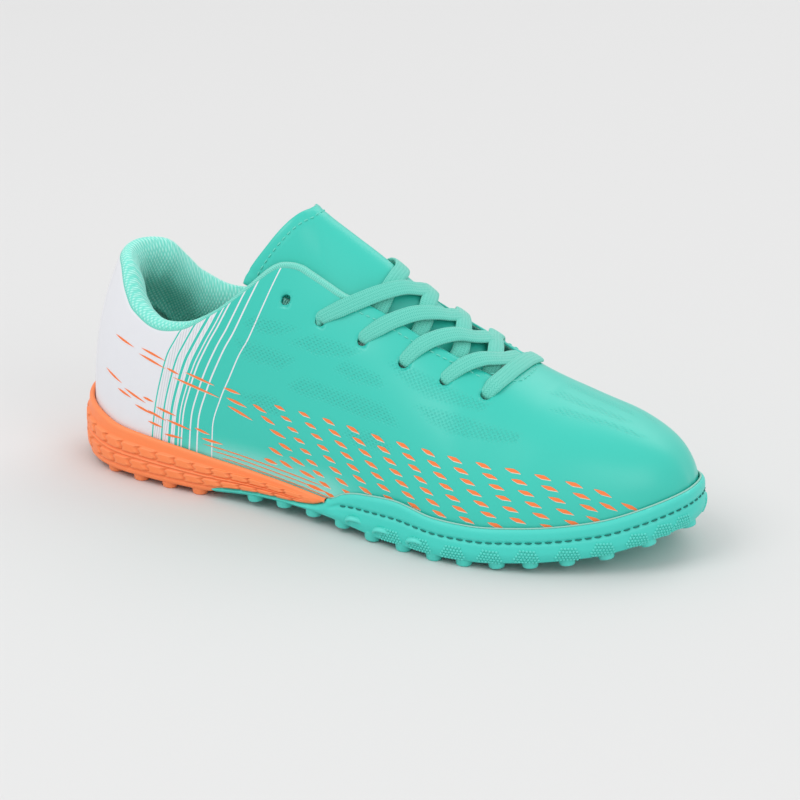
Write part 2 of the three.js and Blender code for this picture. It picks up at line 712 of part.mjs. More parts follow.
// Flat lace strand along a row of places; each place says its station, its signed share from the
// ridge (lateral below 0, medial above 0) and its height off the last.
function strand(places) {
  const at = ({ t, s, off }) => lastPoint(t, 1 - Math.abs(s), s < 0 ? 'lateral' : 'medial', off);
  const steps = 7;
  const faces = new Faces();
  const place = (u) => {
    const whole = Math.min(u, 1) * (places.length - 1);
    const first = Math.min(Math.floor(whole), places.length - 2);
    const part = whole - first;
    const mix = (key) => THREE.MathUtils.lerp(places[first][key], places[first + 1][key], part);
    return { t: mix('t'), s: mix('s'), off: mix('off') };
  };
  const rings = [];
  for (let i = 0; i <= steps; i += 1) {
    const here = place(i / steps);
    const point = at(here);
    const before = at(place(Math.max(0, (i - 0.5) / steps)));
    const after = at(place(Math.min(1, (i + 0.5) / steps)));
    const tangent = after.sub(before).normalize();
    const lifted = at({ ...here, off: here.off + 1 });
    const normal = lifted.sub(point);
    normal.addScaledVector(tangent, -normal.dot(tangent)).normalize();
    const across = new THREE.Vector3().crossVectors(normal, tangent);
    rings.push(LACE_SECTION.map(([w, h]) => faces.add(point.clone()
      .addScaledVector(across, w * LACE_WIDTH)
      .addScaledVector(normal, h * LACE_THICKNESS))));
  }
  for (let i = 0; i < steps; i += 1) {
    LACE_SECTION.forEach((_, k) => {
      const next = (k + 1) % LACE_SECTION.length;
      faces.quad(rings[i][k], rings[i][next], rings[i + 1][next], rings[i + 1][k]);
    });
  }
  const cap = (ring, flipped) => {
    for (let k = 1; k < ring.length - 1; k += 1) {
      faces.index.push(...(flipped ? [ring[0], ring[k], ring[k + 1]] : [ring[0], ring[k + 1], ring[k]]));
    }
  };
  cap(rings[0], false);
  cap(rings[steps], true);
  return solid(faces.geometry());
}

// Height of the lace's middle over the last: on the flaps, and on the tongue's crown.
const LACE_SEAT = UPPER_WALL + 2 * CLEARANCE + LACE_THICKNESS / 2;
const LACE_CROWN = TONGUE_SWELL + 3 * CLEARANCE + LACE_THICKNESS / 2;
const LACE_DIP = -3 * CLEARANCE;
const BAR_SAG = 0.014;

// Stations where the two strands of a crossing meet on the ridge, top pair of eyelets first.
const MEETINGS = [0.53, 0.583, 0.632, 0.677];

// One strand of a crossing. part: share of the way from its eyelet to the meeting. share: of the way from
// the ridge to its eyelet, or below 0 to the other edge of the throat. off: height of its middle off the
// last, more by the seat where it says seated. raise: how much of the upper strand's lift it has there.
const CROSSING = [
  { part: 0, share: 1, off: LACE_SEAT, seated: 1, raise: 0 },
  { part: 0.36, share: 0.64, off: LACE_SEAT, seated: 2.4, raise: 0.2 },
  { part: 1, share: 0, off: LACE_CROWN, seated: 1, raise: 1 },
  { part: 0.93, share: -1, off: LACE_DIP, seated: 0, raise: 0 },
];

function makeCrossing(k) {
  const near = EYELETS[k];
  const far = EYELETS[k + 1];
  const meeting = MEETINGS[k - 1];
  const seat = THREE.MathUtils.lerp(3 * CLEARANCE, 0, (k - 1) / (EYELETS.length - 3));
  const path = (from, to, sign, over) => {
    const start = 1 - near[from];
    const end = 1 - along(OPENING, to, far.t) - 0.05;
    const lift = over ? LACE_THICKNESS * 0.9 : 0;
    return strand(CROSSING.map(({ part, share, off, seated, raise }) => ({
      t: THREE.MathUtils.lerp(near.t, meeting, part),
      s: sign * (share > 0 ? start : end) * share,
      off: off + seat * seated + lift * raise,
    })));
  };
  return join([path('lateral', 'medial', -1, true), path('medial', 'lateral', 1, false)]);
}

function makeBar() {
  const low = EYELETS[EYELETS.length - 1];
  const left = low.lateral - 1;
  const right = 1 - low.medial;
  return strand([
    { t: low.t, s: left, off: LACE_SEAT },
    { t: low.t + BAR_SAG, s: 0, off: LACE_SEAT + LACE_THICKNESS / 2 },
    { t: low.t + BAR_SAG, s: right, off: LACE_SEAT },
  ]);
}

const MATERIALS = {
  teal_rubber: { color: 0x4fcfbe, roughness: 0.5 },
  orange_rubber: { color: 0xff8347, roughness: 0.5 },
  teal_synthetic: { color: 0x3ec9b9, roughness: 0.42 },
  lining_mesh: { color: 0x74ddca, roughness: 0.9 },
  lace_cloth: { color: 0x62d6c2, roughness: 0.85 },
  foot_bed: { color: 0x6fd6c6, roughness: 0.9 },
};

const shoe = new THREE.Group();

function addPiece(name, shape, material) {
  const mesh = new THREE.Mesh(
    geometryOf(shape),
    new THREE.MeshStandardMaterial({ metalness: 0, ...MATERIALS[material] }),
  );
  mesh.name = name;
  shoe.add(mesh);
}

const { cup, outsole } = makeSole();
addPiece('outsole', outsole, 'teal_rubber');
addPiece('heel_cup', cup, 'orange_rubber');
addPiece('upper', makeUpper(), 'teal_synthetic');
addPiece('collar_lining', makeLining(), 'lining_mesh');
addPiece('tongue', makeTongue(), 'teal_synthetic');
addPiece('insole', makeInsole(), 'foot_bed');
addPiece('lace_bar', makeBar(), 'lace_cloth');
for (let k = 1; k < EYELETS.length - 1; k += 1) {
  addPiece(`lace_cross_${k}`, makeCrossing(k), 'lace_cloth');
}

// The shoe stands on its studs, centred on its own box.
const box = new THREE.Box3().setFromObject(shoe);
const middle = box.getCenter(new THREE.Vector3());
shoe.position.set(-middle.x, -middle.y, -box.min.z);

export default shoe;
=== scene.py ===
# %% [markdown]
# # A turf football shoe
# The imported solids give the shoe's true shape and size, but they are coarse and bare. This lesson dresses
# them: one right shoe with a printed synthetic upper, a padded collar, a flat lace and a two-colour rubber
# sole. Every soft or moulded piece is made again as a fine mesh from the same last, so that it lies where
# its solid lies, and the solid it stands for is then hidden.

import math

import bmesh
import bpy
import numpy as np
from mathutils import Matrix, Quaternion, Vector


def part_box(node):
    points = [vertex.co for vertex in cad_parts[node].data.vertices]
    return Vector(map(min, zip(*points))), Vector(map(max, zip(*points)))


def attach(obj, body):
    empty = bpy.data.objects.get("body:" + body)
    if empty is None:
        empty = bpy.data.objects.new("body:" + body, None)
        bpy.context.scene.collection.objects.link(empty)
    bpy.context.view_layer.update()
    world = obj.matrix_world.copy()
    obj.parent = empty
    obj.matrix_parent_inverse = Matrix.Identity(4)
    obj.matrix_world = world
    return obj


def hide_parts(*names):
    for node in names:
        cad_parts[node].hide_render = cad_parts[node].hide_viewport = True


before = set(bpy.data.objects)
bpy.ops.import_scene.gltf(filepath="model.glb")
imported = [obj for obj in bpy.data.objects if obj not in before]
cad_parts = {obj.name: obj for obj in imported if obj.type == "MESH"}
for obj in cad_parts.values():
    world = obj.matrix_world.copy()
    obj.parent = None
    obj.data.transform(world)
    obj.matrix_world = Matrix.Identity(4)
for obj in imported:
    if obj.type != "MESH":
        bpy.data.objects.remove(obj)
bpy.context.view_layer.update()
print("solids:", sorted(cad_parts))

# %% [markdown]
# ## Camera
# The photograph looks at the outer side from a little in front and above, through a long lens, and the
# picture is turned by about two degrees. The camera is placed by azimuth, elevation and distance from a
# point in the middle of the shoe and then rolled about its own axis, which keeps the three angles apart.

# %% Place the camera
MM = 0.001
PHOTO_SIZE = 800
SENSOR_MM = 36
AZIMUTH = math.radians(25.65)
ELEVATION = math.radians(20.69)
ROLL = math.radians(1.8)
DISTANCE = 1.3
FOCAL_PIXELS = 3393
LOOK_AT = Vector((0.0028, 0.0006, 0.0387))
LOOK_AT_PIXEL = (390.87, 406.0)

back = Vector((
    math.sin(AZIMUTH) * math.cos(ELEVATION),
    -math.cos(AZIMUTH) * math.cos(ELEVATION),
    math.sin(ELEVATION),
))
camera = bpy.data.objects.new("camera", bpy.data.cameras.new("camera"))
bpy.context.scene.collection.objects.link(camera)
camera.data.sensor_width = SENSOR_MM
camera.data.lens = FOCAL_PIXELS / PHOTO_SIZE * SENSOR_MM
camera.data.shift_x = 0.5 - LOOK_AT_PIXEL[0] / PHOTO_SIZE
camera.data.shift_y = LOOK_AT_PIXEL[1] / PHOTO_SIZE - 0.5
camera.location = LOOK_AT + back * DISTANCE
camera.rotation_mode = "QUATERNION"
camera.rotation_quaternion = (-back).to_track_quat("-Z", "Y") @ Quaternion((0, 0, 1), ROLL)
bpy.context.scene.camera = camera
print("lens, mm:", round(camera.data.lens, 1))

# %% [markdown]
# ## Floor and light
# The shoe was shot in a bright, nearly shadowless tent. A white world gives that even light, a broad key
# lamp from the upper left and two weaker ones in front and behind give the soft gloss, and the floor is a
# large plain sheet, so that the picture's ground is one pale grey with a faint shadow under the sole.

# %% Build the studio
FLOOR_REACH = 6.0
FLOOR_GREY = 0.70
FLOOR_MOTTLE = 0.995
WORLD_STRENGTH = 0.80
LAMPS = [
    {"name": "key", "at": (-0.9, -1.3, 1.9), "size": 1.3, "watts": 16},
    {"name": "front", "at": (1.6, -0.9, 1.2), "size": 1.2, "watts": 7},
    {"name": "rear", "at": (0.3, 1.5, 1.7), "size": 1.4, "watts": 9},
]

scene = bpy.context.scene
scene.view_settings.view_transform = "Standard"
world = bpy.data.worlds.new("studio")
world.use_nodes = True
world.node_tree.nodes["Background"].inputs["Color"].default_value = (1, 1, 1, 1)
world.node_tree.nodes["Background"].inputs["Strength"].default_value = WORLD_STRENGTH
scene.world = world
for lamp in LAMPS:
    light = bpy.data.lights.new(lamp["name"], "AREA")
    light.size = lamp["size"]
    light.energy = lamp["watts"]
    lamp_object = bpy.data.objects.new(lamp["name"], light)
    lamp_object.location = lamp["at"]
    lamp_object.rotation_euler = (LOOK_AT - lamp_object.location).to_track_quat("-Z", "Y").to_euler()
    scene.collection.objects.link(lamp_object)
print("lamps:", len(LAMPS))

# %% [markdown]
# ## The last
# A shoe is pulled over a last, a solid foot form, and every piece of it follows that form. The same short
# tables that shape the solids are used here, so a point is named by its station from heel to toe, by its
# place across the foot, and by how far it stands off the last. Across the foot the outer edge of the foot
# bed is -1, the ridge is 0 and the inner edge is +1. Working on whole arrays keeps fine meshes quick.

# %% Sizes and sections of the last
LAST_LENGTH = 0.245
BALL_WIDTH = 0.088
INSTEP_HEIGHT = 0.096
HEEL_STACK = 0.0092
HEEL_LEAN = 0.0105
HEEL_TUCK = 0.003
HEEL_BULGE_HEIGHT = 0.033
LEAN_SPAN = 0.05
LEAN_REACH = 0.45
HEEL_ROUND = 0.135
TOE_ROUND = {"outer": 0.35, "inner": 0.27}
TOE_TOP_ROUND = 0.145
TOE_LEAN_SHARE = 0.2
UPPER_WALL = 0.0019
CLEARANCE = 0.0003
STUD_HEIGHT = 0.0038
RIM_HEIGHT = 0.013
THROAT_END = 0.715
SECTIONS = {
    "t": [0.0, 0.1, 0.2, 0.3, 0.4, 0.5, 0.6, 0.7, 0.8, 0.9, 1.0],
    "outer": [0.324, 0.325, 0.341, 0.339, 0.366, 0.409, 0.461, 0.504, 0.502, 0.466, 0.432],
    "inner": [0.324, 0.325, 0.341, 0.324, 0.301, 0.313, 0.364, 0.432, 0.46, 0.449, 0.432],
    "centre": [0.0, 0.0, 0.0, 0.0, 0.0, 0.0, 0.006, 0.017, 0.036, 0.068, 0.098],
    "ridge": [1.13, 1.13, 1.13, 1.105, 1.0, 0.869, 0.72, 0.58, 0.464, 0.376, 0.31],
    "lean": [0.0, 0.0, 0.0, 0.011, 0.023, 0.034, 0.04, 0.04, 0.034, 0.023, 0.011],
    "full": [2.5, 2.5, 2.4, 2.2, 2.0, 1.95, 2.0, 2.1, 2.2, 2.3, 2.3],
}
SOLE = {
    "t": [0.0, 0.04, 0.24, 0.4, 0.46, 0.6, 0.73, 0.8, 0.9, 1.0],
    "lift": [0.004, 0.0, 0.0, 0.0125, 0.0118, 0.0, 0.0, 0.0062, 0.0178, 0.05],
    "bed": [1.0, 1.0, 0.86, 0.4, 0.38, 0.5, 0.5, 0.5, 0.48, 0.4],
}
RIM = {
    "t": [0.0, 0.05, 0.1, 0.2, 0.3, 0.4, 0.483, 0.51, 0.54, 0.6, 0.67, 0.74, 0.84, 1.0],
    "rise": [1.0, 0.85, 0.65, 0.52, 0.37, 0.28, 0.19, 0.48, 0.67, 0.82, 0.64, 0.59, 0.57, 0.66],
}
OPENING = {
    "t": [0.0, 0.03, 0.07, 0.1, 0.15, 0.19, 0.25, 0.3, 0.35, 0.385, 0.45, 0.52, 0.6, 0.7, 1.0],
    "outer": [0.385, 0.378, 0.32, 0.278, 0.252, 0.268, 0.35, 0.462, 0.6, 0.64, 0.645, 0.69, 0.735, 0.8, 0.9],
    "inner": [0.385, 0.372, 0.31, 0.268, 0.244, 0.258, 0.335, 0.445, 0.58, 0.63, 0.65, 0.7, 0.74, 0.8, 0.9],
}
EYELETS = {
    "t": [0.367, 0.43, 0.503, 0.573, 0.64, 0.703],
    "outer": [0.492, 0.5, 0.533, 0.567, 0.617, 0.675],
    "inner": [0.48, 0.5, 0.54, 0.58, 0.625, 0.68],
}
print("stations in the tables:", len(SECTIONS["t"]), "sections,", len(OPENING["t"]), "places on the opening")


# %% Curves through the tables
def along(table, name, at, key="t"):
    """Value of one column: a smooth curve through the rows that never overshoots them."""
    at = np.asarray(at, float)
    places = np.array(table[key], float)
    values = np.array(table[name], float)
    step = np.diff(places)
    slope = np.diff(values) / step
    product = slope[:-1] * slope[1:]
    total = np.where(product > 0, slope[:-1] + slope[1:], 1)
    tangent = np.concatenate([[slope[0]], np.where(product > 0, 2 * product / total, 0), [slope[-1]]])
    row = np.clip(np.searchsorted(places, at, side="left") - 1, 0, len(step) - 1)
    u = np.clip((at - places[row]) / step[row], 0, 1)
    a = tangent[row] * step[row]
    b = tangent[row + 1] * step[row]
    rise = values[row + 1] - values[row]
    return values[row] + u * a + u**2 * (3 * rise - 2 * a - b) + u**3 * (a + b - 2 * rise)


def on_its_side(table, t, across):
    return np.where(across < 0, along(table, "outer", t), along(table, "inner", t))


def rounded(gone, power):
    """Falls from 1 to 0 as gone runs from 0 to 1, like a quarter of a superellipse."""
    return (1 - np.clip(gone, 0, 1) ** power) ** (1 / power)


def smooth(low, high, value):
    u = np.clip((value - low) / (high - low), 0, 1)
    return u * u * (3 - 2 * u)


half_way = float(along(SECTIONS, "ridge", 0.5)) * INSTEP_HEIGHT
print("ridge above the bed at half length, mm:", round(half_way / MM, 1))


# %% Points on the last and on the sole's outline
shift = np.zeros(3)


def underside(t):
    return STUD_HEIGHT + along(SOLE, "lift", t) * LAST_LENGTH


def foot_bed(t):
    return underside(t) + along(SOLE, "bed", t) * HEEL_STACK


def rim_top(t):
    return foot_bed(t) + along(RIM, "rise", t) * RIM_HEIGHT


def station_x(t, off, z):
    u = (z - HEEL_BULGE_HEIGHT) / LEAN_SPAN
    lean = np.where(u > 0, HEEL_LEAN, HEEL_TUCK) * u * u
    fade = np.maximum(0, 1 - t / LEAN_REACH) ** 1.5
    return (t - 0.5) * (LAST_LENGTH + 2 * off) + LAST_LENGTH / 2 + lean * fade


def half_width(t, across, off):
    full = on_its_side(SECTIONS, t, across) * BALL_WIDTH + off
    share = np.where(across < 0, TOE_ROUND["outer"], TOE_ROUND["inner"])
    return full * rounded(1 - t / HEEL_ROUND, 2) * rounded((t - 1 + share) / share, 2.2)


def last_point(t, across, off=0.0):
    """Point off the last at station t and place across, from -1 at the outer edge to +1 at the inner."""
    t, across, off = np.broadcast_arrays(*(np.asarray(v, float) for v in (t, across, off)))
    angle = np.clip(1 - np.abs(across), 0, 1) * math.pi / 2
    full = along(SECTIONS, "full", t)
    out = np.maximum(0, np.cos(angle)) ** (2 / full)
    up = np.sin(angle) ** (2 / full)
    rise = along(SECTIONS, "ridge", t) * INSTEP_HEIGHT + off
    z = foot_bed(t) + rise * rounded((t - 1 + TOE_TOP_ROUND) / TOE_TOP_ROUND, 2.3) * up
    fade = rounded((t - 1 + TOE_LEAN_SHARE) / TOE_LEAN_SHARE, 2)
    lean = along(SECTIONS, "lean", t) * BALL_WIDTH * up * fade
    y = along(SECTIONS, "centre", t) * BALL_WIDTH + np.sign(across) * half_width(t, across, off) * out + lean
    return np.stack([station_x(t, off, z), y, z], -1) + shift


def outline_point(t, across, off, z):
    t, across, off, z = np.broadcast_arrays(*(np.asarray(v, float) for v in (t, across, off, z)))
    y = along(SECTIONS, "centre", t) * BALL_WIDTH + np.sign(across) * half_width(t, across, off)
    return np.stack([station_x(t, off, z), y, z], -1) + shift


def unit(v):
    return v / np.maximum(np.linalg.norm(v, axis=-1, keepdims=True), 1e-12)


def surface_normal(t, across, off=0.0):
    """Outward direction of the last's surface."""
    step = 1e-3
    forward = last_point(t + step, across, off) - last_point(t - step, across, off)
    sideways = last_point(t, across + step, off) - last_point(t, across - step, off)
    return unit(np.cross(forward, sideways))


# %% Set the last in the frame
bed_low, bed_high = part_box("insole")
edge_line = np.linspace(0, 1, 400)
bed_outer = outline_point(edge_line, -1, -2 * CLEARANCE, foot_bed(edge_line))
bed_inner = outline_point(edge_line, 1, -2 * CLEARANCE, foot_bed(edge_line))
shift = np.array([
    (bed_low.x + bed_high.x - bed_outer[:, 0].min() - bed_outer[:, 0].max()) / 2,
    (bed_low.y + bed_high.y - bed_outer[:, 1].min() - bed_inner[:, 1].max()) / 2,
    0.0,
])
print("the last's heel lies at x, mm:", round(shift[0] / MM, 2))
print("and its middle line at y, mm:", round(shift[1] / MM, 2))

# %% [markdown]
# ## Mesh helpers
# Nearly every piece is a grid of points bent to the last, closed on its edges. Making the arrays first
# and the mesh in one go is far quicker than adding vertices one by one, and map coordinates for the
# prints and weaves can be worked out from the same arrays.


# %% Grids, sweeps and the piece itself
def grid_faces(rows, columns, used=None, start=0):
    """Quads of a grid of rows x columns points, those of the used cells only."""
    corner = np.arange(rows * columns).reshape(rows, columns) + start
    quads = np.stack([corner[:-1, :-1], corner[1:, :-1], corner[1:, 1:], corner[:-1, 1:]], -1)
    return quads[used] if used is not None else quads.reshape(-1, 4)


def make_piece(name, points, faces, materials, maps=None, face_material=None, smooth_faces=True):
    """Mesh object from arrays. maps: name of a UV map to its value at each point."""
    mesh = bpy.data.meshes.new(name)
    mesh.from_pydata(np.asarray(points).reshape(-1, 3).tolist(), [], [list(map(int, f)) for f in faces])
    loop_point = np.zeros(len(mesh.loops), np.int32)
    mesh.loops.foreach_get("vertex_index", loop_point)
    for map_name, values in (maps or {}).items():
        layer = mesh.uv_layers.new(name=map_name)
        flat = np.asarray(values, np.float32).reshape(-1, 2)[loop_point]
        layer.data.foreach_set("uv", flat.ravel())
    for material in materials:
        mesh.materials.append(material)
    if face_material is not None:
        mesh.polygons.foreach_set("material_index", np.asarray(face_material, np.int32))
    form = bmesh.new()
    form.from_mesh(mesh)
    bmesh.ops.remove_doubles(form, verts=form.verts, dist=2e-6)
    bmesh.ops.dissolve_degenerate(form, edges=form.edges, dist=1e-7)
    bmesh.ops.recalc_face_normals(form, faces=form.faces)
    form.to_mesh(mesh)
    form.free()
    mesh.polygons.foreach_set("use_smooth", [smooth_faces] * len(mesh.polygons))
    mesh.validate()
    piece = bpy.data.objects.new(name, mesh)
    scene.collection.objects.link(piece)
    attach(piece, "root")
    return piece


def describe(piece):
    size_mm = [round(d / MM, 1) for d in piece.dimensions]
    print(piece.name, "faces:", len(piece.data.polygons), "size, mm:", size_mm)


def run_along(points):
    """Length walked along a line of points, at each of them."""
    return np.concatenate([[0], np.cumsum(np.linalg.norm(np.diff(points, axis=0), axis=1))])


class Parts:
    """Points and faces gathered from many small forms for one joined mesh."""

    def __init__(self):
        self.points, self.faces, self.maps, self.count = [], [], [], 0

    def add(self, points, faces, maps=None):
        points = np.asarray(points, float).reshape(-1, 3)
        self.points.append(points)
        self.faces += [tuple(int(i) + self.count for i in face) for face in faces]
        self.maps.append(np.zeros((len(points), 2)) if maps is None else np.asarray(maps).reshape(-1, 2))
        self.count += len(points)

    def piece(self, name, material, smooth_faces=True):
        maps = {"cloth": np.concatenate(self.maps)}
        return make_piece(name, np.concatenate(self.points), self.faces, [material], maps, None, smooth_faces)


def tube(parts, centres, normals, section, sizes, closed=False):
    """Sweeps a section along centres. section: (across, up) shares; sizes: (width, height) at each centre."""
    centres = np.asarray(centres, float)
    count, sides = len(centres), len(section)
    if closed:
        tangent = unit(np.roll(centres, -1, 0) - np.roll(centres, 1, 0))
    else:
        tangent = unit(np.gradient(centres, axis=0))
    up = unit(normals - (normals * tangent).sum(-1, keepdims=True) * tangent)
    wide = np.cross(up, tangent)
    section, sizes = np.asarray(section, float), np.broadcast_to(np.asarray(sizes, float), (count, 2))
    rings = (
        centres[:, None]
        + wide[:, None] * (section[None, :, :1] * sizes[:, None, :1])
        + up[:, None] * (section[None, :, 1:] * sizes[:, None, 1:])
    )
    ring = np.arange(sides)
    following = np.roll(ring, -1)
    faces = []
    for i in range(count if closed else count - 1):
        here, ahead = i * sides, (i + 1) % count * sides
        faces += [(here + a, here + b, ahead + b, ahead + a) for a, b in zip(ring, following)]
    if not closed:
        faces += [tuple(ring[::-1]), tuple(ring + (count - 1) * sides)]
    run = run_along(centres)
    maps = np.stack(np.broadcast_arrays(run[:, None], section[None, :, 0] * sizes[:, None, 0]), -1)
    parts.add(rings, faces, maps)


def oval(sides, power=2.0):
    angle = np.arange(sides) * 2 * math.pi / sides
    c, s = np.cos(angle), np.sin(angle)
    return np.stack([np.sign(c) * np.abs(c) ** (2 / power), np.sign(s) * np.abs(s) ** (2 / power)], -1) / 2


def curve_through(points, count):
    """Smooth curve of count points through given ones, even along its length."""
    points = np.asarray(points, float)
    ends = np.concatenate([[2 * points[0] - points[1]], points, [2 * points[-1] - points[-2]]])
    u = np.linspace(0, len(points) - 1, 12 * len(points))
    k = np.minimum(u.astype(int), len(points) - 2)
    f = (u - k)[:, None]
    a, b, c, d = ends[k], ends[k + 1], ends[k + 2], ends[k + 3]
    fine = b + 0.5 * f * (c - a + f * (2 * a - 5 * b + 4 * c - d + f * (3 * (b - c) + d - a)))
    run = run_along(fine)
    even = np.linspace(0, run[-1], count)
    return np.stack([np.interp(even, run, fine[:, i]) for i in range(3)], -1)


# %% [markdown]
# ## Finishes
# Each real material gets its own small node tree: coated synthetic with its print, knitted lining, woven
# lace, moulded rubber, thread. Colours are given as they look on a screen and turned into linear light.
# Grain and weave are bump at their real scale, because their relief is a tenth of a millimetre or less.


# %% Node helpers
def paint(red, green, blue):
    """Linear colour from 0-255 screen values."""
    share = np.array([red, green, blue]) / 255
    linear = np.where(share <= 0.04045, share / 12.92, ((share + 0.055) / 1.055) ** 2.4)
    return (*map(float, linear), 1.0)


def node(tree, kind, inputs=None, **settings):
    made = tree.nodes.new(kind)
    for name, value in settings.items():
        setattr(made, name, value)
    for key, value in (inputs or {}).items():
        if isinstance(value, bpy.types.NodeSocket):
            tree.links.new(value, made.inputs[key])
        else:
            made.inputs[key].default_value = value
    return made


def sums(tree, operation, a, b=0.0, clamp=False):
    return node(tree, "ShaderNodeMath", {0: a, 1: b}, operation=operation, use_clamp=clamp).outputs[0]


def mix_colour(tree, factor, a, b):
    made = node(tree, "ShaderNodeMix", data_type="RGBA")
    for socket, value in zip((made.inputs[0], made.inputs[6], made.inputs[7]), (factor, a, b)):
        if isinstance(value, bpy.types.NodeSocket):
            tree.links.new(value, socket)
        else:
            socket.default_value = value
    return made.outputs[2]


def new_finish(name, roughness, coat=0.0, coat_roughness=0.3, sheen=0.0):
    material = bpy.data.materials.new(name)
    material.use_nodes = True
    shader = material.node_tree.nodes["Principled BSDF"]
    shader.inputs["Roughness"].default_value = roughness
    shader.inputs["Coat Weight"].default_value = coat
    shader.inputs["Coat Roughness"].default_value = coat_roughness
    shader.inputs["Sheen Weight"].default_value = sheen
    return material, material.node_tree, shader


def bump(tree, shader, height, strength, distance, below=None):
    inputs = {"Height": height, "Strength": strength, "Distance": distance}
    if below is not None:
        inputs["Normal"] = below
    made = node(tree, "ShaderNodeBump", inputs)
    tree.links.new(made.outputs["Normal"], shader.inputs["Normal"])
    return made.outputs["Normal"]


def map_coordinates(tree, name):
    place = node(tree, "ShaderNodeUVMap", uv_map=name).outputs["UV"]
    parts = node(tree, "ShaderNodeSeparateXYZ", {"Vector": place})
    return place, parts.outputs["X"], parts.outputs["Y"]


def noise(tree, scale, detail=3.0, roughness=0.55, vector=None):
    inputs = {"Scale": scale, "Detail": detail, "Roughness": roughness}
    inputs["Vector"] = vector or node(tree, "ShaderNodeTexCoord").outputs["Object"]
    return node(tree, "ShaderNodeTexNoise", inputs).outputs["Fac"]


def ramp(tree, factor, stops, constant=False):
    """Colour ramp from a list of (place, grey or colour)."""
    made = node(tree, "ShaderNodeValToRGB", {"Fac": factor})
    made.color_ramp.interpolation = "CONSTANT" if constant else "LINEAR"
    while len(made.color_ramp.elements) < len(stops):
        made.color_ramp.elements.new(1.0)
    for element, (place, value) in zip(made.color_ramp.elements, stops):
        element.position = place
        element.color = value if isinstance(value, tuple) else (value, value, value, 1)
    return made.outputs["Color"]


# %% [markdown]
# ### Printed synthetic
# The upper is a thin coated synthetic with a fine grain. Behind a row of curved stripes it is white, and
# the stripes go from hatched bands to single lines. Low at the waist the ground fades to a paler teal.
# Patches of small pits are pressed into the sides, and their hollows are darkened a little in the colour,
# which is painted shade. The map "print" carries the stripe coordinate, "mask" carries where the pits and the
# fade are, and "cloth" runs in metres, so that pits keep their real pitch.

# %% Print finish
TEAL = paint(46, 200, 183)
TEAL_DEEP = paint(44, 188, 170)
TEAL_PALE = paint(150, 224, 214)
WHITE = paint(228, 229, 234)
HATCH_GREY = paint(196, 204, 209)
STRIPE_LOW, STRIPE_SPAN = -0.1, 1.2
WHITE_ENDS = [
    -0.012, 0.012, 0.148, 0.176, 0.272, 0.315, 0.382, 0.43, 0.452, 0.484, 0.506, 0.618, 0.641, 0.742, 0.765,
    0.988, 1.01,
]
HATCHED = [(0.03, 0.132), (0.19, 0.258), (0.33, 0.368)]
PIT_PITCH = 0.00135

print_skin, tree, shader = new_finish("printed_synthetic", 0.4, coat=0.25, coat_roughness=0.3)
_, stripe, height = map_coordinates(tree, "print")
_, pits_here, fade_here = map_coordinates(tree, "mask")
cloth_place, cloth_x, cloth_y = map_coordinates(tree, "cloth")
stripe_share = sums(tree, "DIVIDE", sums(tree, "SUBTRACT", stripe, STRIPE_LOW), STRIPE_SPAN, clamp=True)
stops = [(0.0, 1.0)]
for index, place in enumerate(WHITE_ENDS):
    stops.append(((place - STRIPE_LOW) / STRIPE_SPAN, float(index % 2)))
whiteness = ramp(tree, stripe_share, stops, constant=True)
hatch_stops = [(0.0, 0.0)]
for low, high in HATCHED:
    hatch_stops += [((low - STRIPE_LOW) / STRIPE_SPAN, 1.0), ((high - STRIPE_LOW) / STRIPE_SPAN, 0.0)]
in_hatch = ramp(tree, stripe_share, hatch_stops, constant=True)
slanted = sums(tree, "ADD", sums(tree, "MULTIPLY", cloth_x, 6200.0), sums(tree, "MULTIPLY", cloth_y, 900.0))
hatch_line = sums(tree, "GREATER_THAN", sums(tree, "SINE", slanted), 0.25)
hatch = sums(tree, "MULTIPLY", in_hatch, sums(tree, "MULTIPLY", hatch_line, 0.75))

tone = noise(tree, 14.0, 2.0)
teal = mix_colour(tree, sums(tree, "MULTIPLY", tone, 0.5), TEAL, TEAL_DEEP)
ground = mix_colour(tree, fade_here, teal, TEAL_PALE)
white = mix_colour(tree, hatch, WHITE, HATCH_GREY)
colour = mix_colour(tree, whiteness, ground, white)

turned = node(tree, "ShaderNodeMapping", {"Vector": cloth_place, "Rotation": (0, 0, math.radians(38))})
cells = node(
    tree, "ShaderNodeTexVoronoi", {"Vector": turned.outputs[0], "Scale": 1 / PIT_PITCH, "Randomness": 0.12},
    voronoi_dimensions="2D",
)
pit = ramp(tree, cells.outputs["Distance"], [(0.0, 0.0), (0.24, 0.35), (0.36, 1.0)])
pit_height = sums(tree, "MULTIPLY", sums(tree, "SUBTRACT", 1.0, pit), pits_here)
# Painted shade: the base colour is darkened a little towards the middle of each pit.
tree.links.new(mix_colour(tree, sums(tree, "MULTIPLY", pit_height, 0.08), colour, paint(18, 128, 116)),
               shader.inputs["Base Color"])
grain = noise(tree, 2600.0, 2.0)
under = bump(tree, shader, grain, 0.16, 0.00006)
bump(tree, shader, sums(tree, "SUBTRACT", 1.0, pit_height), 0.8, 0.0003, under)
print("stripe edges:", len(WHITE_ENDS), "pit pitch, mm:", round(PIT_PITCH / MM, 2))

# %% [markdown]
# ### Knits, weaves, thread and rubber
# The lining is a spacer mesh: rows of small bright loops over a darker ground. The lace is a tubular
# weave whose short stitches lean one way and then the other. Rubber is smooth with a soft sheen of mould
# texture, and its raised edges catch a little more light, so it gets a faint lightening on ridges.


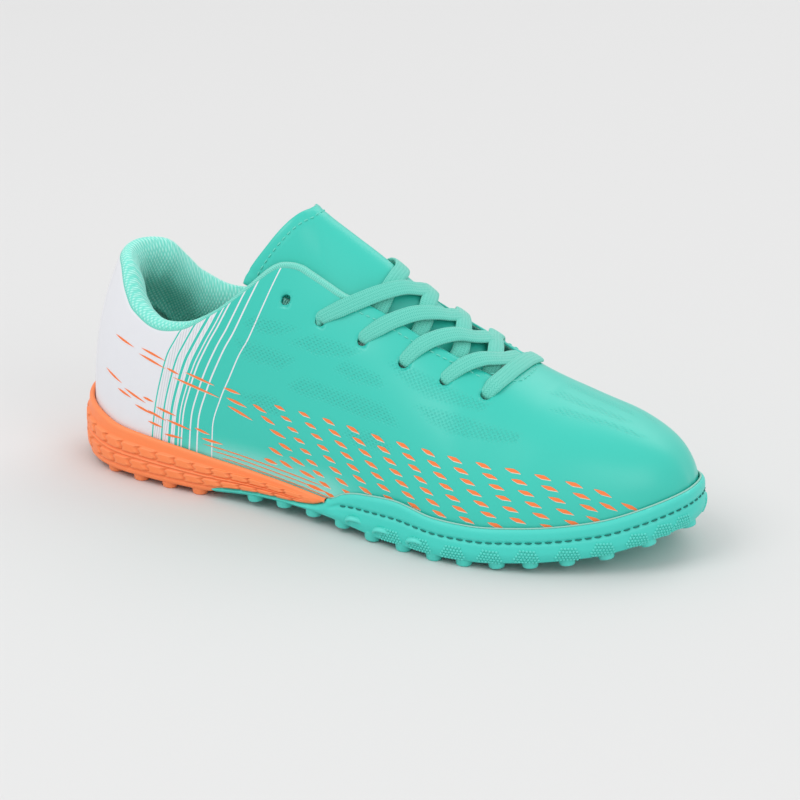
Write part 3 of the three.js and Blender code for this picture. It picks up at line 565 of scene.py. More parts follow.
# %% Cloth finishes
def mesh_cloth(name, light, dark, pitch, turn=45.0, contrast=1.0, roughness=0.85):
    material, tree, shader = new_finish(name, roughness, sheen=0.25)
    place, _, _ = map_coordinates(tree, "cloth")
    turned = node(tree, "ShaderNodeMapping", {"Vector": place, "Rotation": (0, 0, math.radians(turn))})
    loops = node(
        tree, "ShaderNodeTexVoronoi", {"Vector": turned.outputs[0], "Scale": 1 / pitch, "Randomness": 0.1},
        voronoi_dimensions="2D",
    ).outputs["Distance"]
    near = ramp(tree, loops, [(0.12, 1.0), (0.5, 0.0)])
    cloudy = noise(tree, 60.0, 2.0)
    share = sums(tree, "MULTIPLY", near, contrast)
    base = mix_colour(tree, share, dark, light)
    shade = mix_colour(tree, sums(tree, "MULTIPLY", cloudy, 0.25), base, dark)
    tree.links.new(shade, shader.inputs["Base Color"])
    fine = noise(tree, 4000.0, 1.0)
    under = bump(tree, shader, fine, 0.2, 0.00008)
    bump(tree, shader, near, 0.7, 0.00025, under)
    return material


def weave(name, light, dark, stitch, roughness=0.8):
    """Herringbone of short slanted stitches, running along the map's first direction."""
    material, tree, shader = new_finish(name, roughness, sheen=0.3)
    _, run, side = map_coordinates(tree, "cloth")
    lean = sums(tree, "PINGPONG", side, stitch * 1.6)
    slanted = sums(tree, "ADD", run, sums(tree, "MULTIPLY", lean, 0.9))
    phase = sums(tree, "MULTIPLY", slanted, 2 * math.pi / stitch)
    wave = sums(tree, "ADD", sums(tree, "MULTIPLY", sums(tree, "SINE", phase), 0.5), 0.5)
    rib_phase = sums(tree, "MULTIPLY", side, math.pi / (stitch * 1.6))
    rib = sums(tree, "MULTIPLY", sums(tree, "SINE", rib_phase), 0.5)
    high = sums(tree, "ADD", wave, sums(tree, "ABSOLUTE", rib))
    fuzz = noise(tree, 5200.0, 2.0)
    share = sums(tree, "MULTIPLY", high, 0.6, clamp=True)
    base = mix_colour(tree, share, dark, light)
    shade = mix_colour(tree, sums(tree, "MULTIPLY", fuzz, 0.3), base, dark)
    tree.links.new(shade, shader.inputs["Base Color"])
    under = bump(tree, shader, fuzz, 0.35, 0.0001)
    bump(tree, shader, high, 0.6, 0.00018, under)
    return material


lining_cloth = mesh_cloth("lining_mesh", paint(186, 250, 238), paint(116, 224, 207), 0.00105)
inner_cloth = mesh_cloth("quarter_lining", paint(216, 232, 226), paint(168, 206, 198), 0.0009, contrast=0.8)
bed_cloth = mesh_cloth("foot_bed_cloth", paint(120, 214, 198), paint(60, 168, 152), 0.0011)
lace_cloth = weave("lace_weave", paint(126, 226, 208), paint(66, 186, 168), 0.0008)
binding_cloth = weave("binding_knit", paint(150, 236, 220), paint(86, 202, 184), 0.0008)
print("cloths:", [m.name for m in (lining_cloth, inner_cloth, bed_cloth, lace_cloth, binding_cloth)])


# %% Rubber, print ink and thread
def rubber(name, colour, deep, light, roughness=0.5):
    material, tree, shader = new_finish(name, roughness, coat=0.06, coat_roughness=0.4)
    cloudy = noise(tree, 26.0, 3.0)
    body = mix_colour(tree, sums(tree, "MULTIPLY", cloudy, 0.35), colour, deep)
    ridge = ramp(tree, node(tree, "ShaderNodeNewGeometry").outputs["Pointiness"], [(0.5, 0.0), (0.56, 1.0)])
    edged = mix_colour(tree, sums(tree, "MULTIPLY", ridge, 0.35), body, light)
    tree.links.new(edged, shader.inputs["Base Color"])
    mould = noise(tree, 1900.0, 2.0)
    bump(tree, shader, mould, 0.14, 0.0001)
    return material


def plain_finish(name, colour, deep, roughness, grain_scale, grain_depth):
    material, tree, shader = new_finish(name, roughness)
    fine = noise(tree, grain_scale, 2.0)
    shade = mix_colour(tree, sums(tree, "MULTIPLY", fine, 0.4), colour, deep)
    tree.links.new(shade, shader.inputs["Base Color"])
    bump(tree, shader, fine, 0.3, grain_depth)
    return material


teal_rubber = rubber("teal_rubber", paint(64, 210, 196), paint(52, 196, 181), paint(120, 230, 218))
orange_rubber = rubber("orange_rubber", paint(255, 139, 78), paint(252, 127, 68), paint(255, 166, 114))
orange_ink = plain_finish("orange_ink", paint(250, 128, 62), paint(238, 112, 48), 0.4, 2600.0, 0.00004)
pale_ink = plain_finish("pale_ink", paint(232, 226, 206), paint(214, 214, 200), 0.45, 2600.0, 0.00004)
teal_thread = plain_finish("teal_thread", paint(112, 220, 204), paint(60, 176, 160), 0.7, 5000.0, 0.0001)
dark_thread = plain_finish("dark_thread", paint(22, 120, 110), paint(12, 84, 78), 0.7, 5000.0, 0.0001)
cement = plain_finish("cement_line", paint(150, 206, 192), paint(128, 190, 178), 0.55, 900.0, 0.00008)
floor_light, floor_dark = (FLOOR_GREY,) * 3 + (1,), (FLOOR_GREY * FLOOR_MOTTLE,) * 3 + (1,)
floor_finish = plain_finish("floor_paper", floor_light, floor_dark, 0.9, 300.0, 0.00001)
print("smooth finishes:", [m.name for m in (teal_rubber, orange_rubber, orange_ink, pale_ink, cement)])

# %% Lay the floor
FLOOR_CORNERS = ((-1, -1), (1, -1), (1, 1), (-1, 1))
floor_mesh = bpy.data.meshes.new("floor")
floor_mesh.from_pydata([(x * FLOOR_REACH, y * FLOOR_REACH, 0) for x, y in FLOOR_CORNERS], [], [(0, 1, 2, 3)])
floor = bpy.data.objects.new("floor", floor_mesh)
floor_mesh.materials.append(floor_finish)
scene.collection.objects.link(floor)
print("floor laid, m across:", 2 * FLOOR_REACH)

# %% [markdown]
# ## Places on the side
# Prints and pits are laid out as on the flat pattern of the upper: so far forward from the heel, and so
# far up from the foot bed's edge, measured along the surface. A small search turns such a place into a
# station and a place across, and the same table is read backwards to give every point its map values.


# %% Flat pattern coordinates
OUTER_SKIN = UPPER_WALL
RISE_STEPS = 81


def rise_table(t, side):
    """Lengths up the surface at each of the steps from the foot bed's edge to the ridge."""
    across = side * (1 - np.linspace(0, 1, RISE_STEPS))
    across[-1] = side * 1e-9
    points = last_point(np.asarray(t)[:, None], across[None, :], OUTER_SKIN)
    steps = np.linalg.norm(np.diff(points, axis=1), axis=2)
    return points, np.concatenate([np.zeros((len(points), 1)), np.cumsum(steps, 1)], 1)


def place_on_side(x, rise, side):
    """Station and place across of a point x forward of the heel and rise up the side, in metres."""
    x, rise = (np.atleast_1d(np.asarray(v, float)) for v in np.broadcast_arrays(x, rise))
    t = x / LAST_LENGTH
    up = np.linspace(0, 1, RISE_STEPS)
    for _ in range(5):
        points, lengths = rise_table(t, side)
        q = np.array([np.interp(r, row, up) for r, row in zip(rise, lengths)])
        here = last_point(t, side * (1 - q), OUTER_SKIN)[:, 0] - shift[0]
        t = np.clip(t + (x - here) / LAST_LENGTH, 0.002, 0.998)
    return t, side * (1 - q)


test_t, _ = place_on_side(0.12, 0.03, -1)
print("a mark 120 mm forward and 30 mm up lies at station", round(float(test_t[0]), 3))

# %% [markdown]
# ## Upper
# The quarters and vamp are one skin, lasted over the foot form and about two millimetres thick. It could
# be a subdivided box, but the sections of the last already say where each point goes, so the skin is a
# grid: an outer and an inner sheet, closed along the collar, the throat and the lower edge. The eyelets
# are cut in the grid itself: cells inside a hole are left out, and the points around it move onto a
# circle, which keeps clean quads and a true round hole through both sheets.

# %% Lay out the skin
SKIN_STATIONS = 300
EYELET_RADIUS = 0.0022
EDGE_ROUND = 0.045
THROAT_BOW = 0.012
BOW_REACH = 0.09
PANEL_COLUMNS, VAMP_COLUMNS = 44, 17
EDGE_STEPS = np.array([0.7, 0.44, 0.22, 0.07, 0.0])
panel_up = np.concatenate([np.linspace(0, 1 - EDGE_ROUND, PANEL_COLUMNS), 1 - EDGE_ROUND * EDGE_STEPS])
vamp_up = np.linspace(0, 1, VAMP_COLUMNS)[1:]
outer_columns, inner_columns = len(panel_up) + len(vamp_up), len(vamp_up) - 1 + len(panel_up)
column_side = np.concatenate([-np.ones(outer_columns), np.ones(inner_columns)])
panel_share = np.concatenate([panel_up, np.ones(2 * len(vamp_up) - 1), panel_up[::-1]])
vamp_share = np.concatenate([np.zeros(len(panel_up)), vamp_up, vamp_up[:-1][::-1], np.zeros(len(panel_up))])

skin_t = (1 - np.cos(math.pi * np.arange(SKIN_STATIONS + 1) / SKIN_STATIONS)) / 2
throat_row = int(np.abs(skin_t - THROAT_END).argmin())
skin_t[throat_row] = THROAT_END
station = np.repeat(skin_t[:, None], len(column_side), 1)
beyond = station - THROAT_END
bow = THROAT_BOW * vamp_share * (2 - vamp_share) * np.clip(1 - beyond / BOW_REACH, 0, 1) ** 2
station = station + np.where(beyond >= -1e-9, bow, 0)
edge = on_its_side(OPENING, station, column_side[None, :])
q = edge * panel_share + (1 - edge) * vamp_share
across = column_side * (1 - q)
in_vamp = (vamp_share[:-1] > 0) | (vamp_share[1:] > 0)
used = np.ones((SKIN_STATIONS, len(column_side) - 1), bool)
used[:throat_row, in_vamp] = False
print("skin grid:", station.shape, "throat ends at row", throat_row)

# %% Cut the eyelets
eyelet_places = [
    (EYELETS["t"][k], side * (1 - EYELETS["outer" if side < 0 else "inner"][k]))
    for k in range(len(EYELETS["t"])) for side in (-1, 1)
]
for hole_t, hole_across in eyelet_places:
    middle = last_point(hole_t, hole_across, UPPER_WALL / 2)
    away = np.linalg.norm(last_point(station, across, UPPER_WALL / 2) - middle, axis=-1)
    centre_away = (away[:-1, :-1] + away[1:, :-1] + away[1:, 1:] + away[:-1, 1:]) / 4
    hole = centre_away < EYELET_RADIUS
    used &= ~hole
    touches = np.zeros(station.shape, int)
    for rows in (slice(None, -1), slice(1, None)):
        for columns in (slice(None, -1), slice(1, None)):
            touches[rows, columns] += hole
    rim = (touches > 0) & (touches < 4)
    pull = EYELET_RADIUS / away[rim]
    station[rim] = hole_t + (station[rim] - hole_t) * pull
    across[rim] = hole_across + (across[rim] - hole_across) * pull
print("cells left out for eyelets:", int((~used).sum() - throat_row * in_vamp.sum()))

# %% Relief of the skin
PUCKER_DEPTH = 0.00035
PUCKER_REACH = 0.0045
CREASES = [
    {"t": 0.775, "across": 0.0, "reach": 0.012, "length": 0.16, "depth": 0.00035},
    {"t": 0.70, "across": -0.5, "reach": 0.02, "length": 0.12, "depth": 0.00025},
    {"t": 0.665, "across": 0.52, "reach": 0.02, "length": 0.12, "depth": 0.00025},
    {"t": 0.24, "across": -0.86, "reach": 0.05, "length": 0.09, "depth": 0.0003},
    {"t": 0.25, "across": 0.86, "reach": 0.05, "length": 0.09, "depth": 0.0003},
]
WAVE_DEPTH = 0.00012


def skin_relief(t, across):
    """How far the skin stands off the last's smooth form: soft creases, waves and puckered eyelets."""
    total = WAVE_DEPTH * np.sin(t * 31 + across * 5) * np.sin(across * 9 - t * 12)
    here = last_point(t, across)
    for hole_t, hole_across in eyelet_places[2:]:
        away = np.linalg.norm(here - last_point(hole_t, hole_across), axis=-1)
        total -= PUCKER_DEPTH * np.exp(-((away / PUCKER_REACH) ** 2))
    for crease in CREASES:
        along_t = (t - crease["t"]) / crease["reach"]
        along_across = (across - crease["across"]) / crease["length"]
        total -= crease["depth"] * np.exp(-(along_t**2) - along_across**2)
    return total


relief = skin_relief(station, across)
print("relief, mm:", round(relief.min() / MM, 2), "to", round(relief.max() / MM, 2))

# %% Close the skin and give it its maps
FIRST_STRIPE = {
    "q": [0.0, 0.06, 0.145, 0.2, 0.24, 0.28, 0.5],
    "t": [0.158, 0.163, 0.173, 0.18, 0.19, 0.2, 0.245],
}
LAST_STRIPE = {
    "q": [0.0, 0.075, 0.145, 0.208, 0.273, 0.318, 0.417, 0.5, 0.6],
    "t": [0.266, 0.266, 0.277, 0.291, 0.304, 0.315, 0.33, 0.34, 0.351],
}
PATCHES_MM = [
    [(74, 61), (80, 64), (98, 63), (88, 58), (76, 59)],
    [(94, 57), (104, 62), (124, 61), (119, 57), (106, 55)],
    [(71, 54), (86, 53), (98, 51), (92, 46), (76, 47)],
    [(114, 51), (118, 55), (133, 54), (136, 50), (123, 49)],
    [(96, 41), (102, 45), (118, 44), (137, 44), (145, 38), (126, 37), (100, 39)],
    [(134, 60), (142, 61), (162, 57), (176, 55), (174, 51), (153, 51), (142, 55)],
    [(150, 47), (167, 48), (190, 44), (190, 40), (165, 40), (156, 43)],
    [(74, 33), (92, 35), (95, 29), (84, 28)],
    [(121, 30), (136, 33), (145, 28), (128, 26)],
]
VAMP_PATCHES = [
    [(0.775, -0.1), (0.79, -0.03), (0.9, -0.03), (0.89, -0.085)],
    [(0.775, 0.1), (0.79, 0.03), (0.9, 0.03), (0.89, 0.085)],
    [(0.79, -0.23), (0.81, -0.16), (0.93, -0.12), (0.92, -0.17)],
    [(0.79, 0.23), (0.81, 0.16), (0.93, 0.12), (0.92, 0.17)],
]


def inside(x, y, outline, softness):
    """1 inside an outline, falling to 0 over the softness on both sides of its nearest edge."""
    corners = np.array(outline, float)
    crossings = np.zeros(x.shape, int)
    nearest = np.full(x.shape, 1e9)
    for (x1, y1), (x2, y2) in zip(corners, np.roll(corners, -1, 0)):
        spans = (y1 > y) != (y2 > y)
        crossings += spans & (x < (x2 - x1) * (y - y1) / (y2 - y1 + 1e-12) + x1)
        u = np.clip(((x - x1) * (x2 - x1) + (y - y1) * (y2 - y1)) / ((x2 - x1) ** 2 + (y2 - y1) ** 2), 0, 1)
        nearest = np.minimum(nearest, np.hypot(x - x1 - u * (x2 - x1), y - y1 - u * (y2 - y1)))
    signed = np.where(crossings % 2 == 1, -nearest, nearest)
    return 1 - smooth(-softness, softness, signed)


q = 1 - np.abs(across)
outer_sheet = last_point(station, across, OUTER_SKIN)
side_rise = np.zeros(station.shape)
for side in (-1, 1):
    columns = column_side == side
    _, lengths = rise_table(skin_t, side)
    up = np.linspace(0, 1, RISE_STEPS)
    for row in range(len(skin_t)):
        side_rise[row, columns] = np.interp(q[row, columns], up, lengths[row])
forward = outer_sheet[..., 0] - shift[0]
stripe_place = (station - along(FIRST_STRIPE, "t", q, "q")) / (
    along(LAST_STRIPE, "t", q, "q") - along(FIRST_STRIPE, "t", q, "q")
)
pits = np.zeros(station.shape)
for outline in PATCHES_MM:
    pits = np.maximum(pits, inside(forward * 1000, side_rise * 1000, outline, 0.9))
for outline in VAMP_PATCHES:
    pits = np.maximum(pits, 0.8 * inside(station, across, outline, 0.008))
low_on_side = 1 - smooth(0.003, 0.015, side_rise)
fade = 0.85 * low_on_side * smooth(0.045, 0.07, forward) * (1 - smooth(0.112, 0.138, forward))
skin_maps = {
    "print": np.stack([stripe_place, side_rise], -1),
    "mask": np.stack([pits, fade], -1),
    "cloth": np.stack([forward, side_rise * column_side], -1),
}


def edge_share(rows_t):
    """1 over most of the skin, less near the free edges, where the wall rounds off."""
    near_edge = np.clip((panel_share - (1 - EDGE_ROUND)) / EDGE_ROUND, 0, 1)
    rounded_edge = np.sqrt(np.clip(1 - 0.92 * near_edge**2, 0, 1))
    free = 1 - smooth(THROAT_END - 0.01, THROAT_END + 0.004, rows_t)
    return 1 - (1 - rounded_edge) * free


share = edge_share(station)
outer_points = last_point(station, across, UPPER_WALL * (0.5 + 0.5 * share) + relief)
inner_points = last_point(station, across, UPPER_WALL * (0.5 - 0.5 * share) + relief)


# The four sides of a cell: the step to the neighbour there, and the two corners of that side.
NEIGHBOURS = [
    ((0, -1), (0, 0), (1, 0)),
    ((0, 1), (1, 1), (0, 1)),
    ((-1, 0), (0, 1), (0, 0)),
    ((1, 0), (1, 0), (1, 1)),
]


def shell_walls(used):
    """Quads that join the two sheets along the edges of the used cells, as pairs of grid points."""
    rows, columns = used.shape
    padded = np.zeros((rows + 2, columns + 2), bool)
    padded[1:-1, 1:-1] = used
    walls = []
    for (di, dj), a, b in NEIGHBOURS:
        for i, j in np.argwhere(used & ~padded[1 + di:rows + 1 + di, 1 + dj:columns + 1 + dj]):
            walls.append(((i + a[0], j + a[1]), (i + b[0], j + b[1])))
    return walls


def thick_sheet(outer, inner, used, seam_row=False):
    """Points and faces of a closed sheet, and how many faces its outer side has.

    With seam_row the first row needs no wall, since its two halves meet in a seam.
    """
    rows, columns = outer.shape[:2]
    quads = grid_faces(rows, columns, used)
    behind = grid_faces(rows, columns, used, rows * columns)[:, ::-1]
    walls = []
    for a, b in shell_walls(used):
        if seam_row and a[0] == b[0] == 0:
            continue
        first, second = a[0] * columns + a[1], b[0] * columns + b[1]
        walls.append((second, first, first + rows * columns, second + rows * columns))
    points = np.concatenate([outer.reshape(-1, 3), inner.reshape(-1, 3)])
    return points, [*map(tuple, quads), *map(tuple, behind), *walls], len(quads)


points, faces, outer_count = thick_sheet(outer_points, inner_points, used, seam_row=True)
two_sheets = {name: np.concatenate([m.reshape(-1, 2)] * 2) for name, m in skin_maps.items()}
which = np.zeros(len(faces), int)
which[outer_count:2 * outer_count] = 1
upper = make_piece("upper_skin", points, faces, [print_skin, inner_cloth], two_sheets, which)
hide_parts("upper")
describe(upper)

# %% [markdown]
# ## Printed dashes
# Orange ink is laid on the skin in short slanted dashes. Over the heel they are long thin strokes, and
# towards the toe they turn into rows of small diamonds, each with a pale lip under its lower edge. They
# could be part of the skin's colour, but as thin raised forms they keep a crisp outline at any distance,
# as thick ink does. A dash is a small lens, draped on the skin point by point.

# %% Lay the diamonds and strokes
INK_HEIGHT = 0.00012
LIP_HEIGHT = 0.00007
INK_ROOT = -0.0002
DIAMOND = MM * np.array([
    (-3.1, 0.45), (-1.6, 0.68), (0.4, 0.72), (1.9, 0.1),
    (3.1, -0.62), (1.4, -0.62), (-0.4, -0.68), (-1.9, -0.12),
])
LATTICE = {"x": 93.4, "along": 10.87, "lean": 3.2, "drop": 3.5, "rows": 9, "columns": 14}
LAST_MARK_MM = 236
TOP_ROW_MM = {
    "x": [60, 150, 182, 203, 213, 223, 232, 240],
    "rise": [31.6, 31.6, 30.4, 26.3, 23.0, 18.8, 12.6, 6.0],
}
TILT = {"x": [100, 165, 195, 215, 232], "slope": [0.05, 0.1, 0.2, 0.36, 0.75]}
TOE_PULL_MM = 2.8
DIAMOND_LIP = np.array([0.00025, -0.0003])
STROKE_LIP = np.array([0.0002, -0.00022])
LIPPED_FROM_MM = 45
LOW_LINES = {
    "count": 9, "x": 66, "along": 5.5, "rise": 9.2, "fall": 0.35,
    "long": 11, "thick": 0.3, "slope": 0.03,
}
LOW_LINES_SET = {"rows": 3, "shorter": 2, "forward": 3, "drop": 1.9}
STROKES_MM = [
    (18.9, 43.7, 28.5, 41.1), (32.0, 41.7, 43.0, 39.1), (31.0, 39.2, 43.3, 36.0), (43.8, 36.4, 49.4, 35.0),
    (51.9, 36.5, 64.4, 33.9), (46.8, 33.4, 66.8, 29.5), (13.9, 28.5, 23.0, 25.1), (20.9, 22.5, 27.9, 20.4),
    (24.4, 23.5, 34.6, 20.0), (33.4, 22.2, 38.3, 21.3), (39.6, 19.7, 48.8, 18.0), (29.6, 18.2, 38.1, 16.1),
    (35.6, 17.3, 44.3, 15.1), (35.9, 12.9, 42.9, 11.9), (44.3, 15.7, 55.5, 13.7), (43.6, 9.5, 51.8, 9.6),
    (56.8, 15.1, 63.3, 13.8), (59.8, 11.6, 69.2, 11.1), (68.4, 33.9, 75.8, 32.8), (69.8, 30.2, 78.9, 28.3),
    (70.5, 27.1, 81.7, 23.8), (81.4, 30.1, 87.9, 28.2), (85.4, 26.5, 91.9, 24.5), (89.6, 22.2, 97.1, 20.4),
    (93.9, 17.8, 100.3, 16.2), (89.6, 15.0, 96.1, 13.2), (87.7, 10.0, 93.9, 9.2), (94.6, 11.1, 101.1, 9.3),
    (99.1, 13.7, 106.3, 11.8), (103.8, 9.5, 111.5, 8.2), (107.1, 4.9, 116.5, 4.2),
]


def drape(parts, outline, x, rise, side, height):
    """A small flat form on the skin: its outline lies at height, its walls go down into the skin."""
    t, place = place_on_side(x + outline[:, 0], np.maximum(rise + outline[:, 1], 0.0005), side)
    middle_t, middle_place = place_on_side(x, rise, side)
    t, place = np.append(t, middle_t), np.append(place, middle_place)
    skin = OUTER_SKIN + skin_relief(t, place)
    top = last_point(t, place, skin + height)
    root = last_point(t[:-1], place[:-1], skin[:-1] + INK_ROOT)
    count = len(outline)
    ring = np.arange(count)
    following = np.roll(ring, -1)
    faces = [(count, a, b) for a, b in zip(ring, following)]
    faces += [(b, a, count + 1 + a, count + 1 + b) for a, b in zip(ring, following)]
    faces.append(tuple(count + 1 + ring[::-1]))
    parts.add(np.concatenate([top, root]), faces)


def lens(length, thickness, slope):
    """Outline of a thin stroke: pointed ends, fullest a little before its middle."""
    u = np.linspace(0, 1, 6)[1:-1]
    body = thickness / 2 * np.sin(math.pi * u**0.85)
    share = np.concatenate([[0.0], u, [1.0], u[::-1]])
    off = np.concatenate([[0.0], body, [0.0], -body[::-1]])
    return np.stack([(share - 0.5) * length, (0.5 - share) * length * slope + off], -1)


ink, lip = Parts(), Parts()
marks = 0
for side in (-1, 1):
    for row in range(LATTICE["rows"]):
        for column in range(LATTICE["columns"]):
            x = LATTICE["x"] + LATTICE["along"] * column + LATTICE["lean"] * row
            rise = float(along(TOP_ROW_MM, "rise", x, "x")) - LATTICE["drop"] * row
            mark_t = x * MM / LAST_LENGTH
            rim_here = float(rim_top(mark_t) - foot_bed(mark_t)) / MM
            if rise < rim_here - 0.5 or x > LAST_MARK_MM:
                continue
            shape = DIAMOND * (0.82 + 0.18 * smooth(95, 130, x))
            shape[:, 1] -= along(TILT, "slope", x, "x") * shape[:, 0]
            x -= TOE_PULL_MM * smooth(216, 234, x)
            drape(ink, shape, x * MM, rise * MM, side, INK_HEIGHT)
            drape(lip, shape + DIAMOND_LIP, x * MM, rise * MM, side, LIP_HEIGHT)
            marks += 1
    for x1, rise1, x2, rise2 in STROKES_MM:
        thick = 0.95 + 0.35 * smooth(60, 85, x1)
        outline = lens((x2 - x1) * MM, thick * MM, (rise1 - rise2) / (x2 - x1))
        middle_x, middle_rise = (x1 + x2) / 2 * MM, (rise1 + rise2) / 2 * MM
        drape(ink, outline, middle_x, middle_rise, side, INK_HEIGHT)
        if x1 > LIPPED_FROM_MM:
            drape(lip, outline + STROKE_LIP, middle_x, middle_rise, side, LIP_HEIGHT)
        marks += 1
    for line in range(LOW_LINES["count"]):
        for row in range(LOW_LINES_SET["rows"]):
            length = LOW_LINES["long"] - LOW_LINES_SET["shorter"] * row
            x = LOW_LINES["x"] + LOW_LINES["along"] * line + LOW_LINES_SET["forward"] * row
            rise = LOW_LINES["rise"] - LOW_LINES_SET["drop"] * row - LOW_LINES["fall"] * line
            outline = lens(length * MM, LOW_LINES["thick"] * MM, LOW_LINES["slope"])
            drape(ink, outline, x * MM, rise * MM, side, INK_HEIGHT)
            marks += 1
for name, parts, material in (("print_marks", ink, orange_ink), ("print_edges", lip, pale_ink)):
    piece = parts.piece(name, material, smooth_faces=False)
    describe(piece)
print("marks:", marks)

# %% [markdown]
# ## Edge binding and seams
# A flat knitted binding is folded over the edge of the collar. On the heel it is hardly more than a cord,
# and beside the top eyelets it widens to three millimetres and ends. Further down the throat the skin is
# turned in and held by one row of stitches, with a stitched tab below the last crossing of the lace. The
# binding is one section swept along the opening, the stitches are short separate lengths of thread.


# %% Fold the binding over the edge
BINDING_MM = {
    "t": [0.0, 0.1, 0.2, 0.3, 0.35, 0.38, 0.45, 0.472],
    "wide": [1.0, 1.0, 1.1, 1.5, 2.4, 3.0, 3.0, 2.4],
    "thick": [1.9, 1.9, 2.0, 2.2, 2.4, 2.4, 2.4, 2.2],
}


def turn_places(end, spacing, off=0.0, at_toe=False):
    """Stations and sides on a walk from the outer side round one end of the shoe to the inner side."""
    reach = np.linspace(0, 1, 1500) ** 2 * (1 - end if at_toe else end)
    signed = np.concatenate([-reach[::-1], reach[1:]])
    t = 1 - np.abs(signed) if at_toe else np.abs(signed)
    points = outline_point(t, signed, off, foot_bed(t))
    run = run_along(points)
    even = np.linspace(0, run[-1], int(run[-1] / spacing) + 1)
    signed = np.interp(even, run, signed)
    return (1 - np.abs(signed) if at_toe else np.abs(signed)), signed, even


BINDING_END = BINDING_MM["t"][-1]
t, signed, run = turn_places(BINDING_END, 0.0012)
edge_q = on_its_side(OPENING, t, signed)
side = np.where(signed < 0, -1.0, 1.0)
centres = last_point(t, side * (1 - edge_q), UPPER_WALL / 2)
outward = last_point(t, side * (1 - edge_q), UPPER_WALL)
below = last_point(t, side * (1 - edge_q + 0.03), UPPER_WALL / 2)
binding = Parts()
wide = along(BINDING_MM, "wide", t) * MM
thick = along(BINDING_MM, "thick", t) * MM
centres = centres + unit(below - centres) * (wide / 2 - 0.0004)[:, None]
tube(binding, centres, outward - centres, oval(14, 3.2), np.stack([wide, thick], -1))
binding_piece = binding.piece("collar_binding", binding_cloth)
describe(binding_piece)

# %% Sew the throat
STITCH_LENGTH = 0.0019
STITCH_GAP = 0.0009
STITCH_THICK = 0.00055


STITCH_BOW = np.array([-0.6, 0.25, 0.4, 0.25, -0.6])


def read_line(where, run, values):
    """Values given at the points of a line, read at other lengths along it."""
    return np.stack([np.interp(where, run, values[:, i]) for i in range(3)], -1)


def stitches(parts, points, normals, length=STITCH_LENGTH, gap=STITCH_GAP, thick=STITCH_THICK):
    """Short lengths of thread along a line of points, each bowed a little out of the surface."""
    run = run_along(points)
    for start in np.arange(0, run[-1] - length, length + gap):
        where = start + length * np.linspace(0, 1, len(STITCH_BOW))
        facing = unit(read_line(where, run, normals))
        centres = read_line(where, run, points) + facing * STITCH_BOW[:, None] * thick
        tube(parts, centres, facing, oval(6), (thick, thick))


threads = Parts()
for side in (-1, 1):
    t = np.linspace(0.455, THROAT_END - 0.022, 120)
    place = side * (1 - on_its_side(OPENING, t, side) + 0.05)
    stitches(threads, last_point(t, place, OUTER_SKIN), surface_normal(t, place))
TAB_STITCHES = [
    (0.694, -0.200), (0.708, -0.188), (0.722, -0.168), (0.732, -0.13), (0.736, -0.08),
    (0.736, 0.0), (0.732, 0.07), (0.722, 0.12), (0.708, 0.16), (0.694, 0.185),
]
tab_line = curve_through([(t, across, 0.0) for t, across in TAB_STITCHES], 90)
tab_t, tab_across = tab_line[:, 0], tab_line[:, 1]
stitches(threads, last_point(tab_t, tab_across, OUTER_SKIN), surface_normal(tab_t, tab_across))
print("thread points so far:", threads.count)

# %% [markdown]
# ## Padded collar lining
# Inside the heel a foam pad is wrapped in spacer mesh. It is thickest just under the edge, rolls over the
# top by a few millimetres, and thins out downwards and towards the front, where it passes under the
# quarters. It is a stuffed piece, but it is glued flat to the heel all round, so its form is known and can
# be built as a thick sheet with a domed top edge.

# %% Build the padded lining
PAD = {
    "end": 0.31, "depth": 0.026, "rise": 0.0042, "thick": 0.0078,
    "least": 0.0012, "roll": 0.001, "inside": 0.75, "over": 0.0019,
}
PAD_STATIONS, PAD_COLUMNS = 110, 34
fan = np.linspace(-1, 1, 2 * PAD_STATIONS + 1)
t = (PAD["end"] * (1 - np.cos(math.pi * np.abs(fan) / 2)))[:, None]
side = np.where(fan < 0, -1.0, 1.0)[:, None]
v = np.linspace(0, 1, PAD_COLUMNS)[None, :] ** 0.9
height = along(SECTIONS, "ridge", t) * INSTEP_HEIGHT
edge = on_its_side(OPENING, t, side)
low = edge - PAD["inside"] * PAD["depth"] / height
crest = edge + PAD["inside"] * PAD["rise"] / height
q = low + (crest - low) * v
thin = 1 - 0.62 * smooth(0.1, PAD["end"], t)
swell = PAD["thick"] * thin * (0.2 + 0.8 * np.sin(math.pi * np.clip(v * 0.74, 0, 1)) ** 2)
roll = PAD["roll"] * thin * smooth(0.82, 1, v)
room = CLEARANCE * (2 + 2 * smooth(0.2, PAD["end"], t))
dome = np.sqrt(np.clip(1 - (np.clip(v - 0.84, 0, 1) / 0.16) ** 2.4, 0, 1))
over = (PAD["over"] + room) * smooth(0.8, 0.88, v) * (1 - smooth(0.13, 0.24, t))
near_wall, far_wall = -room + over, -room - np.maximum(PAD["least"] + roll, swell)
middle, half = (near_wall + far_wall) / 2, (near_wall - far_wall) / 2 * (0.06 + 0.94 * dome)
dimple = 0.00025 * np.sin(fan * 40)[:, None] * np.sin(v * 9)
wall_side = last_point(t, side * (1 - q), middle + half)
foot_side = last_point(t, side * (1 - q), middle - half + dimple)
run = run_along(foot_side[:, -6])
cloth = np.stack([np.broadcast_to(run[:, None], q.shape), q * 0.09], -1)
points, faces, _ = thick_sheet(foot_side, wall_side, np.ones((len(fan) - 1, PAD_COLUMNS - 1), bool))
pad_maps = {"cloth": np.concatenate([cloth.reshape(-1, 2)] * 2)}
lining = make_piece("collar_pad", points, faces, [lining_cloth], pad_maps)
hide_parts("collar_lining")
describe(lining)

